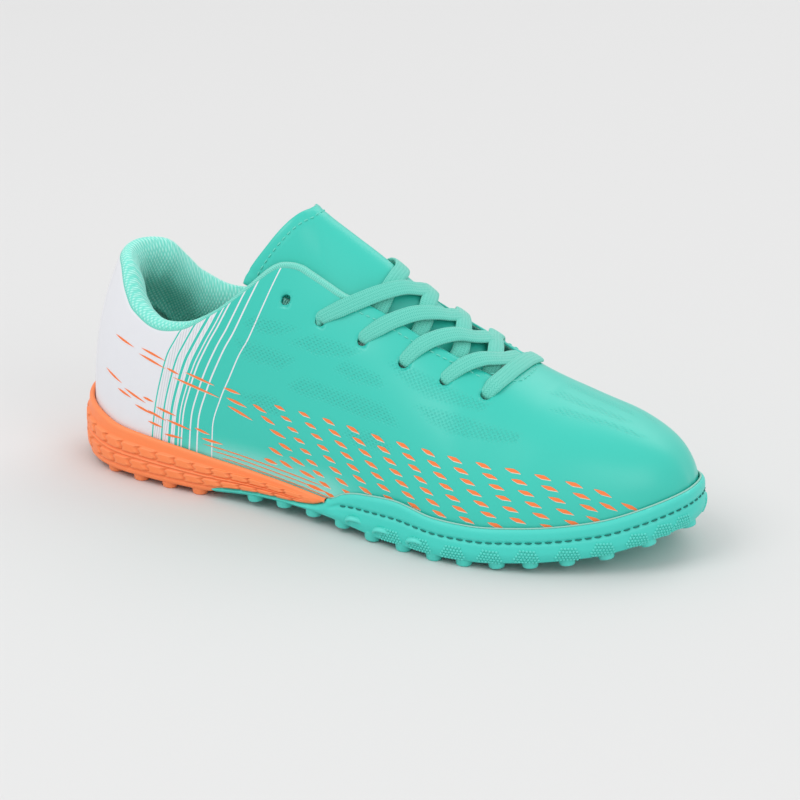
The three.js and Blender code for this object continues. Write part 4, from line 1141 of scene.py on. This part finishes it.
# %% [markdown]
# ## Tongue
# The tongue lies on the instep under both flaps and stands free above the top eyelets. It is the same
# coated synthetic over a thin foam, bound by a stitched hem. It follows the last, deeper under the flaps
# and higher in the open throat, so its own table of edges and a rule for its depth are enough.

# %% Build the tongue
TONGUE_EDGE = {
    "t": [0.3, 0.45, 0.6, 0.8],
    "outer": [0.47, 0.56, 0.64, 0.76],
    "inner": [0.47, 0.56, 0.64, 0.76],
}
TONGUE_FOOT, TONGUE_TOP, TONGUE_DROOP, TONGUE_CORNER = 0.77, 0.352, 0.095, 0.012
TONGUE_THICK = 0.0032
TONGUE_SINK, TONGUE_SWELL = 0.0026, 0.0012
HEM_SIDE, HEM_TOP, HEM_DEPTH = 0.915, 0.955, 0.00035


def tongue_place(across_share, along_share):
    """Station, place across and height off the last of a point on the tongue's face."""
    away = np.abs(across_share)
    top = TONGUE_TOP - TONGUE_DROOP * away**1.65 + TONGUE_CORNER * away**12
    t = TONGUE_FOOT + (top - TONGUE_FOOT) * along_share
    q = 1 - away * (1 - on_its_side(TONGUE_EDGE, t, across_share))
    edge = on_its_side(OPENING, t, across_share)
    open_share = 1 - smooth(THROAT_END - 0.08, THROAT_END - 0.015, t)
    free = 1 - smooth(0.34, 0.42, t)
    in_throat = smooth(0, 1, (q - edge - 0.05) / np.maximum(0.95 - edge, 1e-6))
    raised = np.maximum(in_throat * open_share, free * smooth(0.4, 0.9, q))
    depth = -CLEARANCE - TONGUE_SINK + (TONGUE_SINK + TONGUE_SWELL) * raised
    return t, np.sign(across_share) * (1 - q) + (across_share == 0) * 1e-9, depth


near_end = 1 - np.array([0.0, 0.004, 0.012, 0.024, 0.04])
along_share = np.concatenate([np.linspace(0, 0.95, 110), near_end[::-1]])[:, None]
across_share = np.concatenate([-near_end, np.linspace(-0.95, 0.95, 91), near_end[::-1]])[None, :]
along_share, across_share = np.broadcast_arrays(along_share, across_share)
t, place, depth = tongue_place(across_share, along_share)
outermost = np.maximum(np.abs(across_share), along_share)
edge_gone = np.clip((outermost - 0.955) / 0.045, 0, 1)
plump = np.sqrt(np.clip(1 - 0.9 * edge_gone**2, 0, 1))
side_hem = np.exp(-(((np.abs(across_share) - HEM_SIDE) / 0.014) ** 2))
top_hem = np.exp(-(((along_share - HEM_TOP) / 0.007) ** 2)) * (np.abs(across_share) < 0.93)
hem = np.maximum(side_hem, top_hem)
front = last_point(t, place, depth - TONGUE_THICK / 2 * (1 - plump) - HEM_DEPTH * hem)
rear = last_point(t, place, depth - TONGUE_THICK / 2 * (1 + plump))
cloth = np.stack([t * LAST_LENGTH, place * 0.05], -1).reshape(-1, 2)
flat = np.zeros_like(cloth)
tongue_maps = {
    "cloth": np.concatenate([cloth] * 2),
    "mask": np.concatenate([flat] * 2),
    "print": np.concatenate([flat + 2.0] * 2),
}
points, faces, front_count = thick_sheet(front, rear, np.ones((t.shape[0] - 1, t.shape[1] - 1), bool))
which = np.zeros(len(faces), int)
which[front_count:] = 1
tongue = make_piece("tongue_skin", points, faces, [print_skin, inner_cloth], tongue_maps, which)
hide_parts("tongue")
describe(tongue)

# %% Sew the tongue's hem
walk = np.concatenate([
    np.stack([np.full(60, -HEM_SIDE), np.linspace(0.35, 0.93, 60)], -1),
    np.stack([-HEM_SIDE * np.cos(np.linspace(0, math.pi, 90)[1:-1]), np.full(88, HEM_TOP)], -1),
    np.stack([np.full(60, HEM_SIDE), np.linspace(0.93, 0.35, 60)], -1),
])
t, place, depth = tongue_place(walk[:, 0], walk[:, 1])
stitches(threads, last_point(t, place, depth - 0.0002), surface_normal(t, place))
thread_piece = threads.piece("upper_stitches", teal_thread)
describe(thread_piece)

# %% [markdown]
# ## Insole
# A thin foam sheet with a cloth top lies on the foot bed. Little of it shows, so it is a plain sheet that
# follows the outline of the last, with a soft top edge.

# %% Build the insole
INSOLE_THICK = 0.003
rows = (1 - np.cos(math.pi * np.arange(141) / 140)) / 2
share = np.concatenate([[-1, -0.995, -0.98, -0.95], np.linspace(-0.9, 0.9, 31), [0.95, 0.98, 0.995, 1]])
inset = -2 * CLEARANCE
left = outline_point(rows, -1, inset, foot_bed(rows))
right = outline_point(rows, 1, inset, foot_bed(rows))
blend = (share[None, :, None] + 1) / 2
base = left[:, None] * (1 - blend) + right[:, None] * blend
end_gone = np.maximum(np.abs(share)[None, :], (np.abs(rows - 0.5) * 2)[:, None] ** 3)
thickness = INSOLE_THICK * (1 - 0.3 * np.clip((end_gone - 0.9) / 0.1, 0, 1) ** 2)
top = base + np.array([0, 0, 1.0]) * thickness[..., None]
points, faces, _ = thick_sheet(top, base, np.ones((len(rows) - 1, len(share) - 1), bool))
cloth = base[..., :2].reshape(-1, 2)
insole = make_piece("insole_sheet", points, faces, [bed_cloth], {"cloth": np.concatenate([cloth] * 2)})
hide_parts("insole")
describe(insole)

# %% [markdown]
# ## Lace
# One flat tubular lace runs up the throat. It lies straight across between the lowest eyelets and crosses
# four times above them. Every strand comes out of its eyelet on top of the flap, runs over the throat and
# goes in under the other flap, beside the next eyelet, where it turns up into that hole. The outer side's
# strands lie on top and run forward before they cross. The middle of each strand is placed on the
# last; where it goes through a hole the flat lace gathers to a thicker, narrower section.

# %% Lay the lace
LACE_WIDTH, LACE_THICK = 0.0066, 0.0016
HOLE_WIDTH, HOLE_THICK = 0.0052, 0.0022
HOLE_SLIP = 0.011
ON_FLAP = UPPER_WALL + 0.00095
ON_TONGUE = 0.0021
UNDER_FLAP = -0.0013
IN_HOLE = UPPER_WALL * 0.55
STRAND_LIFT, STRAND_SINK = 0.0014, 0.0016
OVER = [
    [(0.461, -0.42), (0.488, -0.335), (0.513, -0.235), (0.535, -0.13), (0.55, -0.03), (0.553, 0.09)],
    [(0.526, -0.378), (0.548, -0.285), (0.568, -0.2), (0.588, -0.115), (0.602, -0.035), (0.609, 0.08)],
    [(0.590, -0.325), (0.609, -0.232), (0.628, -0.145), (0.644, -0.075), (0.653, -0.01), (0.659, 0.08)],
    [(0.658, -0.265), (0.674, -0.185), (0.688, -0.115), (0.697, -0.05), (0.702, 0.01), (0.706, 0.08)],
]
UNDER = [
    [(0.448, 0.42), (0.475, 0.3), (0.5, 0.16), (0.514, 0.03), (0.517, -0.09), (0.514, -0.2)],
    [(0.516, 0.4), (0.535, 0.29), (0.552, 0.16), (0.562, 0.04), (0.57, -0.08), (0.577, -0.18)],
    [(0.581, 0.37), (0.592, 0.27), (0.603, 0.16), (0.616, 0.04), (0.629, -0.07), (0.64, -0.17)],
    [(0.645, 0.31), (0.651, 0.22), (0.66, 0.12), (0.672, 0.02), (0.683, -0.07), (0.69, -0.14)],
]


def lace_strand(parts, places, pinched):
    """Sweeps the flat lace through (station, across, height) places; pinched gives each place's gather."""
    places = np.array(places, float)
    scale = np.array([LAST_LENGTH, 0.05, 1.0])
    line = curve_through(places * scale, 90)
    run = run_along(line)
    marks = [int(np.argmin(np.linalg.norm(line - p, axis=1))) for p in places * scale]
    gather = np.interp(run, run[np.maximum.accumulate(marks)], pinched)
    t, across, off = (line / scale).T
    centres = last_point(t, across, off)
    normals = surface_normal(t, across)
    tangent = unit(np.gradient(centres, axis=0))
    flat = tangent - (tangent * normals).sum(-1, keepdims=True) * normals
    weight = np.linalg.norm(flat, axis=1)
    sure = np.where(weight > 0.55)[0]
    nearest = sure[np.abs(np.arange(len(line))[:, None] - sure[None, :]).argmin(1)]
    wide = unit(np.cross(normals[nearest], flat[nearest]))
    facing = np.cross(tangent, wide)
    width = LACE_WIDTH + (HOLE_WIDTH - LACE_WIDTH) * gather
    thick = LACE_THICK + (HOLE_THICK - LACE_THICK) * gather
    size = np.stack([width, thick], -1)
    tube(parts, centres, facing, oval(22, 2.7), size)
    return float(run[-1])


lace_length = 0.0
for k in range(1, 5):
    strands = Parts()
    for side, table in ((-1, OVER), (1, UNDER)):
        key, far_key = ("outer", "inner") if side < 0 else ("inner", "outer")
        hole = (EYELETS["t"][k], side * (1 - EYELETS[key][k] - HOLE_SLIP))
        next_hole = (EYELETS["t"][k + 1], -side * (1 - EYELETS[far_key][k + 1]))
        line = [(*hole, UNDER_FLAP), (*hole, IN_HOLE)]
        gather = [1.0, 1.0]
        for number, (t, across) in enumerate(table[k - 1]):
            edge_here = 1 - float(on_its_side(OPENING, t, side))
            own_side = across * side
            on_flap = float(smooth(edge_here - 0.12, edge_here + 0.02, own_side))
            lifted = STRAND_LIFT * math.exp(-(((across + 0.16) / 0.09) ** 2)) if side < 0 else 0.0
            sunk = float(smooth(0.05, 0.2, -own_side))
            off = ON_TONGUE + (ON_FLAP - ON_TONGUE) * on_flap + lifted - STRAND_SINK * sunk
            line.append((t, across, off))
            gather.append(0.1 if number == 0 else 0.0)
        edge_t = (line[-1][0] * 2 + next_hole[0]) / 3
        edge_here = 1 - float(on_its_side(OPENING, edge_t, -side))
        line += [(edge_t, -side * (edge_here + 0.015), UNDER_FLAP), (*next_hole, UNDER_FLAP)]
        gather += [0.1, 0.8]
        lace_length += lace_strand(strands, line, gather)
    crossing = strands.piece(f"lace_crossing_{k}", lace_cloth)
    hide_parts(f"lace_cross_{k}")
describe(crossing)

low_t = EYELETS["t"][5]
bar = Parts()
ends = [-(1 - EYELETS["outer"][5] - HOLE_SLIP), 1 - EYELETS["inner"][5] - HOLE_SLIP]
line = [(low_t, ends[0], UNDER_FLAP), (low_t, ends[0], IN_HOLE)]
line += [(low_t + 0.004, ends[0] + 0.05, ON_FLAP), (low_t + 0.010, -0.17, ON_FLAP - 0.0002)]
line += [(low_t + 0.014, -0.04, ON_TONGUE + 0.0006), (low_t + 0.014, 0.08, ON_TONGUE + 0.0006)]
line += [(low_t + 0.012, 0.2, ON_FLAP), (low_t + 0.006, ends[1] - 0.05, ON_FLAP)]
line += [(low_t, ends[1], IN_HOLE), (low_t, ends[1], UNDER_FLAP)]
lace_length += lace_strand(bar, line, [1, 1, 0.1, 0, 0, 0, 0, 0.1, 1, 1])
bar_piece = bar.piece("lace_straight_bar", lace_cloth)
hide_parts("lace_bar")
describe(bar_piece)
print("lace laid, mm:", round(lace_length / MM))

# %% [markdown]
# ## Sole unit
# Two rubbers meet in the sole: an orange heel cup with a wing along each side, and a teal outsole that
# rises round the toe as a low sidewall. Both walls are one profile carried round the outline of the last.
# The profile's corners are eased, and the moulded blocks, ridge and groove are added to how far each
# point stands out, which keeps the walls one closed skin. The floor between the walls is a separate thin
# slab inside the same piece, and the studs are turned forms rooted in it.


# %% Profile of the wall
INNER_OFF = UPPER_WALL + CLEARANCE
SIDE_OFF = INNER_OFF + 0.0022
EDGE_BEVEL = 0.0013
SKIRT_DROP = 0.0012
RIM_WALL = 0.0012
LIP_OVERHANG = 0.0004
LIP_DROP = 0.0012
GROOVE_DEPTH = 0.0009
GROOVE_WIDTH = 0.0013
GROOVE_SHARE, RIDGE_SHARE = 0.58, 0.41
HEEL_END = 0.275
WING_END = 0.48
WING_EDGE = {
    "t": [0.27, 0.31, 0.37, 0.42, 0.455, 0.474, 0.48],
    "share": [0.0, 0.1, 0.12, 0.18, 0.36, 0.7, 1.0],
}
FOOT_REACH = 0.003
PITCH = 0.0007


def wall_z(t, share):
    return underside(t) + (rim_top(t) - underside(t)) * share


def soften(corners, ease=0.42, steps=5):
    """Rounds the corners of many open profiles at once. corners: (profiles, corners, 2)."""
    before, here, after = corners[:, :-2], corners[:, 1:-1], corners[:, 2:]
    start, end = here + (before - here) * ease, here + (after - here) * ease
    u = np.linspace(0, 1, steps)[None, None, :, None]
    bends = start[:, :, None] * (1 - u) ** 2 + here[:, :, None] * 2 * u * (1 - u) + end[:, :, None] * u**2
    bends = bends.reshape(len(corners), -1, 2)
    return np.concatenate([corners[:, :1], bends, corners[:, -1:]], 1)


def refine(profile, longest):
    """Adds points on the long stretches of the profiles, as many on each profile."""
    steps = np.linalg.norm(np.diff(profile, axis=1), axis=2).max(0)
    pieces = []
    for k, step in enumerate(steps):
        count = max(1, int(math.ceil(step / longest)))
        u = (np.arange(count) / count)[None, :, None]
        pieces.append(profile[:, k:k + 1] * (1 - u) + profile[:, k + 1:k + 2] * u)
    return np.concatenate([*pieces, profile[:, -1:]], 1)


def wall_piece(parts, signed, t, corners, relief):
    """Closed wall swept round the outline: eased outer profile with relief, and a plain inner foot."""
    profile = refine(soften(corners), 0.00055)
    profile[..., 0] += relief(profile[..., 1])
    foot_top = foot_bed(t) - CLEARANCE
    low = profile[:, 0, 1]
    inner = np.stack([
        np.stack([np.full_like(t, INNER_OFF), np.maximum(foot_top, low + 0.0001)], -1),
        np.stack([np.full_like(t, INNER_OFF - FOOT_REACH), np.maximum(foot_top, low + 0.0001)], -1),
        np.stack([np.full_like(t, INNER_OFF - FOOT_REACH), low], -1),
    ], 1)
    loop = np.concatenate([profile, inner], 1)
    points = outline_point(t[:, None], signed[:, None] + 0 * loop[..., 0], loop[..., 0], loop[..., 1])
    rows, columns = loop.shape[:2]
    number = np.arange(rows * columns).reshape(rows, columns)
    turned = np.roll(number, -1, 1)
    faces = np.stack([number[:-1], number[1:], turned[1:], turned[:-1]], -1).reshape(-1, 4)
    parts.add(points, [*map(tuple, faces), tuple(number[0][::-1]), tuple(number[-1])])
    return profile


def slab(parts, start, end, drop=0.00006):
    """Floor of the sole between its walls, from station start to end."""
    rows = start + (end - start) * (1 - np.cos(math.pi * np.arange(91) / 90)) / 2
    share = np.linspace(0, 1, 9)[None, :, None]
    sheets = []
    for z in (underside(rows) + drop, foot_bed(rows) - CLEARANCE - drop):
        left = outline_point(rows, -1, INNER_OFF - FOOT_REACH * 0.7, z)[:, None]
        right = outline_point(rows, 1, INNER_OFF - FOOT_REACH * 0.7, z)[:, None]
        sheets.append(left * (1 - share) + right * share)
    points, faces, _ = thick_sheet(sheets[1], sheets[0], np.ones((len(rows) - 1, 8), bool))
    parts.add(points, faces)


STUD_RADIUS, STUD_TIP_RADIUS, STUD_BEVEL, STUD_ROOT = 0.0035, 0.0029, 0.0006, 0.0012
STUD_INSET = 0.0039
STUD_SIDES = 24
STUD_ROWS = [
    {"inset": 0.0, "from": 0.075, "to": 0.24, "count": 4},
    {"inset": 0.0, "from": 0.34, "to": 0.62, "count": 6},
    {"inset": 0.0, "from": 0.675, "to": 0.965, "count": 7},
    {"inset": 0.17, "from": 0.12, "to": 0.22, "count": 2},
    {"inset": 0.16, "from": 0.36, "to": 0.48, "count": 2},
    {"inset": 0.148, "from": 0.58, "to": 0.93, "count": 5},
    {"inset": 0.307, "from": 0.64, "to": 0.84, "count": 3},
]
END_STUDS = [(0.0, 0.023, 0.045), (1.0, 0.011, 0.985)]


def turned_form(parts, centre, direction, rings, sides):
    """Turned solid: rings of (radius, distance along direction), closed at both ends."""
    axis = unit(np.asarray(direction, float))
    a = unit(np.cross(axis, [0.0, 1.0, 0.13]))
    b = np.cross(axis, a)
    angle = np.arange(sides) * 2 * math.pi / sides
    circle = np.cos(angle)[:, None] * a + np.sin(angle)[:, None] * b
    points = np.concatenate([centre + axis * along_axis + circle * radius for radius, along_axis in rings])
    faces = []
    for k in range(len(rings) - 1):
        for i in range(sides):
            j = (i + 1) % sides
            near, far = k * sides, (k + 1) * sides
            faces.append((near + i, near + j, far + j, far + i))
    faces += [tuple(range(sides))[::-1], tuple(range((len(rings) - 1) * sides, len(rings) * sides))]
    parts.add(points, faces)


def plate_down(t):
    """Direction of a stud at station t: square to the plate where it is turned up, else straight down."""
    slope = float(underside(t + 0.01) - underside(t - 0.01)) / (0.02 * LAST_LENGTH)
    tilted = float(along(SOLE, "lift", t)) * LAST_LENGTH > STUD_HEIGHT / 10
    return np.array([slope if tilted else 0.0, 0.0, -1.0])


stud_places = []
for row in STUD_ROWS:
    for side in (-1, 1):
        for t in np.linspace(row["from"], row["to"], row["count"]):
            off = SIDE_OFF - STUD_INSET - row["inset"] * BALL_WIDTH
            stud_places.append((t, outline_point(t, side, off, 0)))
for end, inset, t in END_STUDS:
    stud_places.append((t, outline_point(end, -1, SIDE_OFF - STUD_INSET - inset * BALL_WIDTH, 0)))


STUD_RINGS = [
    (STUD_RADIUS * 1.04, -STUD_ROOT),
    (STUD_RADIUS * 1.02, 0.0),
    (STUD_RADIUS * 0.97, 0.0006),
    (STUD_TIP_RADIUS + 0.0001, STUD_HEIGHT - STUD_BEVEL),
    (STUD_TIP_RADIUS - STUD_BEVEL * 0.3, STUD_HEIGHT - STUD_BEVEL * 0.3),
    (STUD_TIP_RADIUS - STUD_BEVEL, STUD_HEIGHT),
    (0.0011, STUD_HEIGHT),
    (0.0007, STUD_HEIGHT - 0.0005),
]


def add_studs(parts, from_x, to_x):
    """Studs whose centres lie between two places along the shoe, and how many there are."""
    count = 0
    for t, place in stud_places:
        if from_x < place[0] < to_x:
            root = np.array([place[0], place[1], float(underside(t))])
            turned_form(parts, root, plate_down(t), STUD_RINGS, STUD_SIDES)
            count += 1
    return count


print("studs in all:", len(stud_places))

# %% [markdown]
# ### Heel cup
# Between a smooth rolled edge and a thin lower lip, two bands of raised blocks run round the cup, with a
# narrow ridge between them. Each block has slanted, S-shaped ends, so the bands look woven. The blocks
# get lower along the wing and the bands narrow with it.

# %% Build the heel cup
HEEL_RIDGE = 0.0009
BLOCK_RELIEF = 0.0010
BLOCK_PITCH = 0.0082
BLOCK_BANDS = [(0.10, 0.36, 0.0), (0.47, 0.73, 0.5)]
t, signed, run = turn_places(WING_END - 0.0005, PITCH, SIDE_OFF)
low_share = along(WING_EDGE, "share", t)
low_z = wall_z(t, low_share) - SKIRT_DROP * (1 - smooth(0.0, 0.05, low_share))
top_z = rim_top(t)
span = top_z - underside(t)


def heel_relief(z):
    """How far the cup's wall stands out: the ridge, the two bands of blocks and the lower lip."""
    share = (z - underside(t)[:, None]) / span[:, None]
    fade = (1 - smooth(0.40, 0.465, t))[:, None]
    total = HEEL_RIDGE * np.exp(-(((share - RIDGE_SHARE) / 0.028) ** 2))
    for low, high, offset in BLOCK_BANDS:
        inside_band = smooth(low, low + 0.035, share) * (1 - smooth(high - 0.035, high, share))
        u = np.clip((share - low) / (high - low), 0, 1)
        phase = run[:, None] / BLOCK_PITCH + offset + 0.42 * u + 0.16 * np.sin(2 * math.pi * u)
        gap = np.abs((phase % 1) - 0.5) * 2
        total = np.maximum(total, BLOCK_RELIEF * inside_band * (1 - smooth(0.78, 0.92, gap)))
    lip_here = 0.0004 * (1 - smooth(0.03, 0.08, share)) * (low_share < 0.02)[:, None]
    return (total + lip_here) * fade * (z < (top_z - LIP_DROP)[:, None])


lift = np.minimum(EDGE_BEVEL * 0.6, (top_z - low_z) * 0.3)
under_wing = low_share > 0.02
start_off = np.where(under_wing, SIDE_OFF - 0.0006, SIDE_OFF - EDGE_BEVEL)
mid_low = np.minimum(low_z + lift, top_z - 0.0015)
corners = np.stack([
    np.stack([start_off, low_z], -1),
    np.stack([np.where(under_wing, SIDE_OFF, SIDE_OFF - EDGE_BEVEL / 4), mid_low], -1),
    np.stack([np.full_like(t, SIDE_OFF), mid_low + (top_z - mid_low) * 0.35], -1),
    np.stack([np.full_like(t, SIDE_OFF - 0.0001), mid_low + (top_z - mid_low) * 0.62], -1),
    np.stack([np.full_like(t, SIDE_OFF - 0.0003), top_z - np.minimum(0.0030, (top_z - mid_low) * 0.3)], -1),
    np.stack([np.full_like(t, SIDE_OFF - 0.0004), top_z - LIP_DROP * 0.5], -1),
    np.stack([np.full_like(t, INNER_OFF + RIM_WALL * 0.7), top_z], -1),
    np.stack([np.full_like(t, INNER_OFF), top_z - LIP_DROP * 0.4], -1),
], 1)
cup_parts = Parts()
wall_piece(cup_parts, signed, t, corners, heel_relief)
slab(cup_parts, 0.0, HEEL_END - 0.0005)
split_x = HEEL_END * LAST_LENGTH + shift[0]
stud_room = STUD_RADIUS + CLEARANCE
heel_studs = add_studs(cup_parts, -np.inf, split_x - stud_room)
cup = cup_parts.piece("heel_cup_moulding", orange_rubber)
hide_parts("heel_cup")
describe(cup)
print("studs under the heel:", heel_studs)

# %% [markdown]
# ### Outsole
# The teal outsole starts behind the waist, under the wings, and runs round the toe. Above a groove with
# a row of stitches its edge is a smooth rounded rand. Below the groove the wall flares a little and
# carries arched patches of small six-sided pillows along its lower edge. Three ringed discs are moulded
# on the turned-up edge of each side of the waist.

# %% Build the outsole
t, signed, run = turn_places(HEEL_END + 0.0015, PITCH * 1.15, SIDE_OFF, at_toe=True)
wing_low = wall_z(t, along(WING_EDGE, "share", t)) - CLEARANCE
top_z = np.where(t < WING_END, np.minimum(wing_low, rim_top(t)), rim_top(t))
low_z = underside(t) - SKIRT_DROP
top_z = np.maximum(top_z, low_z + 0.0024)
full_wall = smooth(WING_END - 0.002, WING_END + 0.02, t)
groove_z = wall_z(t, GROOVE_SHARE) * full_wall + (low_z + (top_z - low_z) * GROOVE_SHARE) * (1 - full_wall)
gap_z = np.minimum(GROOVE_WIDTH, (top_z - low_z) * 0.14)
wall_high = top_z - low_z
lip_fall = np.minimum(LIP_DROP, (top_z - groove_z) * 0.35)
bevel_z = low_z + np.minimum(EDGE_BEVEL * 0.6, wall_high * 0.3)
corners = np.stack([
    np.stack([np.full_like(t, SIDE_OFF - EDGE_BEVEL), low_z], -1),
    np.stack([np.full_like(t, SIDE_OFF - EDGE_BEVEL / 4), bevel_z], -1),
    np.stack([np.full_like(t, SIDE_OFF + 0.0001), groove_z - gap_z], -1),
    np.stack([SIDE_OFF - GROOVE_DEPTH * full_wall, groove_z], -1),
    np.stack([np.full_like(t, SIDE_OFF - CLEARANCE), groove_z + gap_z], -1),
    np.stack([np.full_like(t, INNER_OFF + RIM_WALL + LIP_OVERHANG), top_z - lip_fall], -1),
    np.stack([np.full_like(t, INNER_OFF + RIM_WALL * 0.6), top_z], -1),
    np.stack([np.full_like(t, INNER_OFF), top_z - np.minimum(LIP_DROP / 6, wall_high * 0.1)], -1),
], 1)


def flare(z):
    """How far the wall swells out below its groove."""
    share = (z - low_z[:, None]) / (top_z - low_z)[:, None]
    swell = np.exp(-(((share - 0.27) / 0.16) ** 2))
    return 0.0004 * swell * full_wall[:, None]


sole_parts = Parts()
sole_profile = wall_piece(sole_parts, signed, t, corners, flare)
slab(sole_parts, HEEL_END + 0.0015, 1.0)
front_studs = add_studs(sole_parts, split_x + stud_room, np.inf)
UP_STEP, RUN_STEP = 0.0004, 0.0005


def on_wall(along_run, z):
    """Point and outward direction of the outsole's wall at a length along its run and a height."""
    row = int(np.abs(run - along_run).argmin())
    outer = sole_profile[row]
    rising = outer[:int(outer[:, 1].argmax()) + 1]
    off = np.interp([z, z - UP_STEP, z + UP_STEP], rising[:, 1], rising[:, 0])
    across = np.interp([along_run, along_run - RUN_STEP, along_run + RUN_STEP], run, signed)
    points = outline_point(1 - np.abs(across), across, off[0], z)
    ahead = points[2] - points[1]
    out = unit(np.array([ahead[1], -ahead[0], 0.0]))
    middle = outline_point(1 - abs(across[0]) - 0.05, 1e-9, 0.0, z)
    if np.dot(out, points[0] - middle) < 0:
        out = -out
    return points[0], unit(out + np.array([0, 0, -(off[2] - off[1]) / (2 * UP_STEP)]))


ARCHES = [0.6, 0.652, 0.705, 0.76, 0.812, 0.865, 0.908, 0.948, 0.975, 0.992]
PILLOW_RADIUS, PILLOW_PITCH, PILLOW_RISE = 0.00056, 0.00128, 0.00045
PILLOW_RINGS = [
    (PILLOW_RADIUS, -0.0005), (PILLOW_RADIUS, PILLOW_RISE * 0.5), (PILLOW_RADIUS * 0.7, PILLOW_RISE),
]
ARCH_WIDE, ARCH_HIGH, ARCH_FOOT = 0.0046, 0.0056, -0.0003
pillows = 0
for arch in ARCHES:
    for side in (-1, 1):
        middle_run = float(np.interp(side * (1 - arch), signed, run))
        for line in range(5):
            up = line * PILLOW_PITCH * 0.87
            reach = ARCH_WIDE * math.sqrt(max(0.0, 1 - (up / ARCH_HIGH) ** 2))
            for step in np.arange(-4, 5) * PILLOW_PITCH + PILLOW_PITCH / 2 * (line % 2):
                z = float(underside(arch)) + ARCH_FOOT + up
                if abs(step) > reach or z > float(wall_z(arch, GROOVE_SHARE)) - 0.0018:
                    continue
                here, out = on_wall(middle_run + step, z)
                turned_form(sole_parts, here, out, PILLOW_RINGS, 6)
                pillows += 1

DISC_STATIONS = [0.535, 0.585, 0.645]
DISC_RADIUS, DISC_RISE = 0.00425, 0.0009
DISC_LOW, DISC_INSET = 0.0011, 0.0015
DISC_PROFILE = [
    (1, -1), (1, 0.75), (0.93, 1), (0.74, 1), (0.66, 0.55), (0.5, 0.55), (0.42, 1), (0.2, 1), (0.1, 0.8),
]
disc_rings = [(DISC_RADIUS * radius, DISC_RISE * rise) for radius, rise in DISC_PROFILE]
for place in DISC_STATIONS:
    for side in (-1, 1):
        centre = outline_point(place, side, SIDE_OFF - DISC_INSET, float(underside(place)) + DISC_LOW)
        turned_form(sole_parts, centre, (0, side, -1), disc_rings, 28)
outsole = sole_parts.piece("outsole_moulding", teal_rubber)
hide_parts("outsole")
describe(outsole)
print("studs:", front_studs, "pillows:", pillows)

# %% Sew the groove and lay the cement line
groove_threads = Parts()
whole = t > 0.505
z = wall_z(t, GROOVE_SHARE)
points = outline_point(t, signed, SIDE_OFF - GROOVE_DEPTH * 0.72, z)[whole]
outwards = unit(outline_point(t, signed, SIDE_OFF + 0.002, z) - outline_point(t, signed, SIDE_OFF, z))[whole]
stitches(groove_threads, points, outwards, length=0.0026, gap=0.0011, thick=0.0006)
groove_piece = groove_threads.piece("sole_stitches", dark_thread)
describe(groove_piece)

line = Parts()
t, signed, run = turn_places(0.485, 0.0016, INNER_OFF, at_toe=True)
points = outline_point(t, signed, INNER_OFF - 0.0001, rim_top(t) + 0.00005)
tube(line, points, np.tile([0.0, 0.0, 1.0], (len(points), 1)), oval(8), (0.0008, 0.0007))
cement_piece = line.piece("cement_bead", cement)
describe(cement_piece)
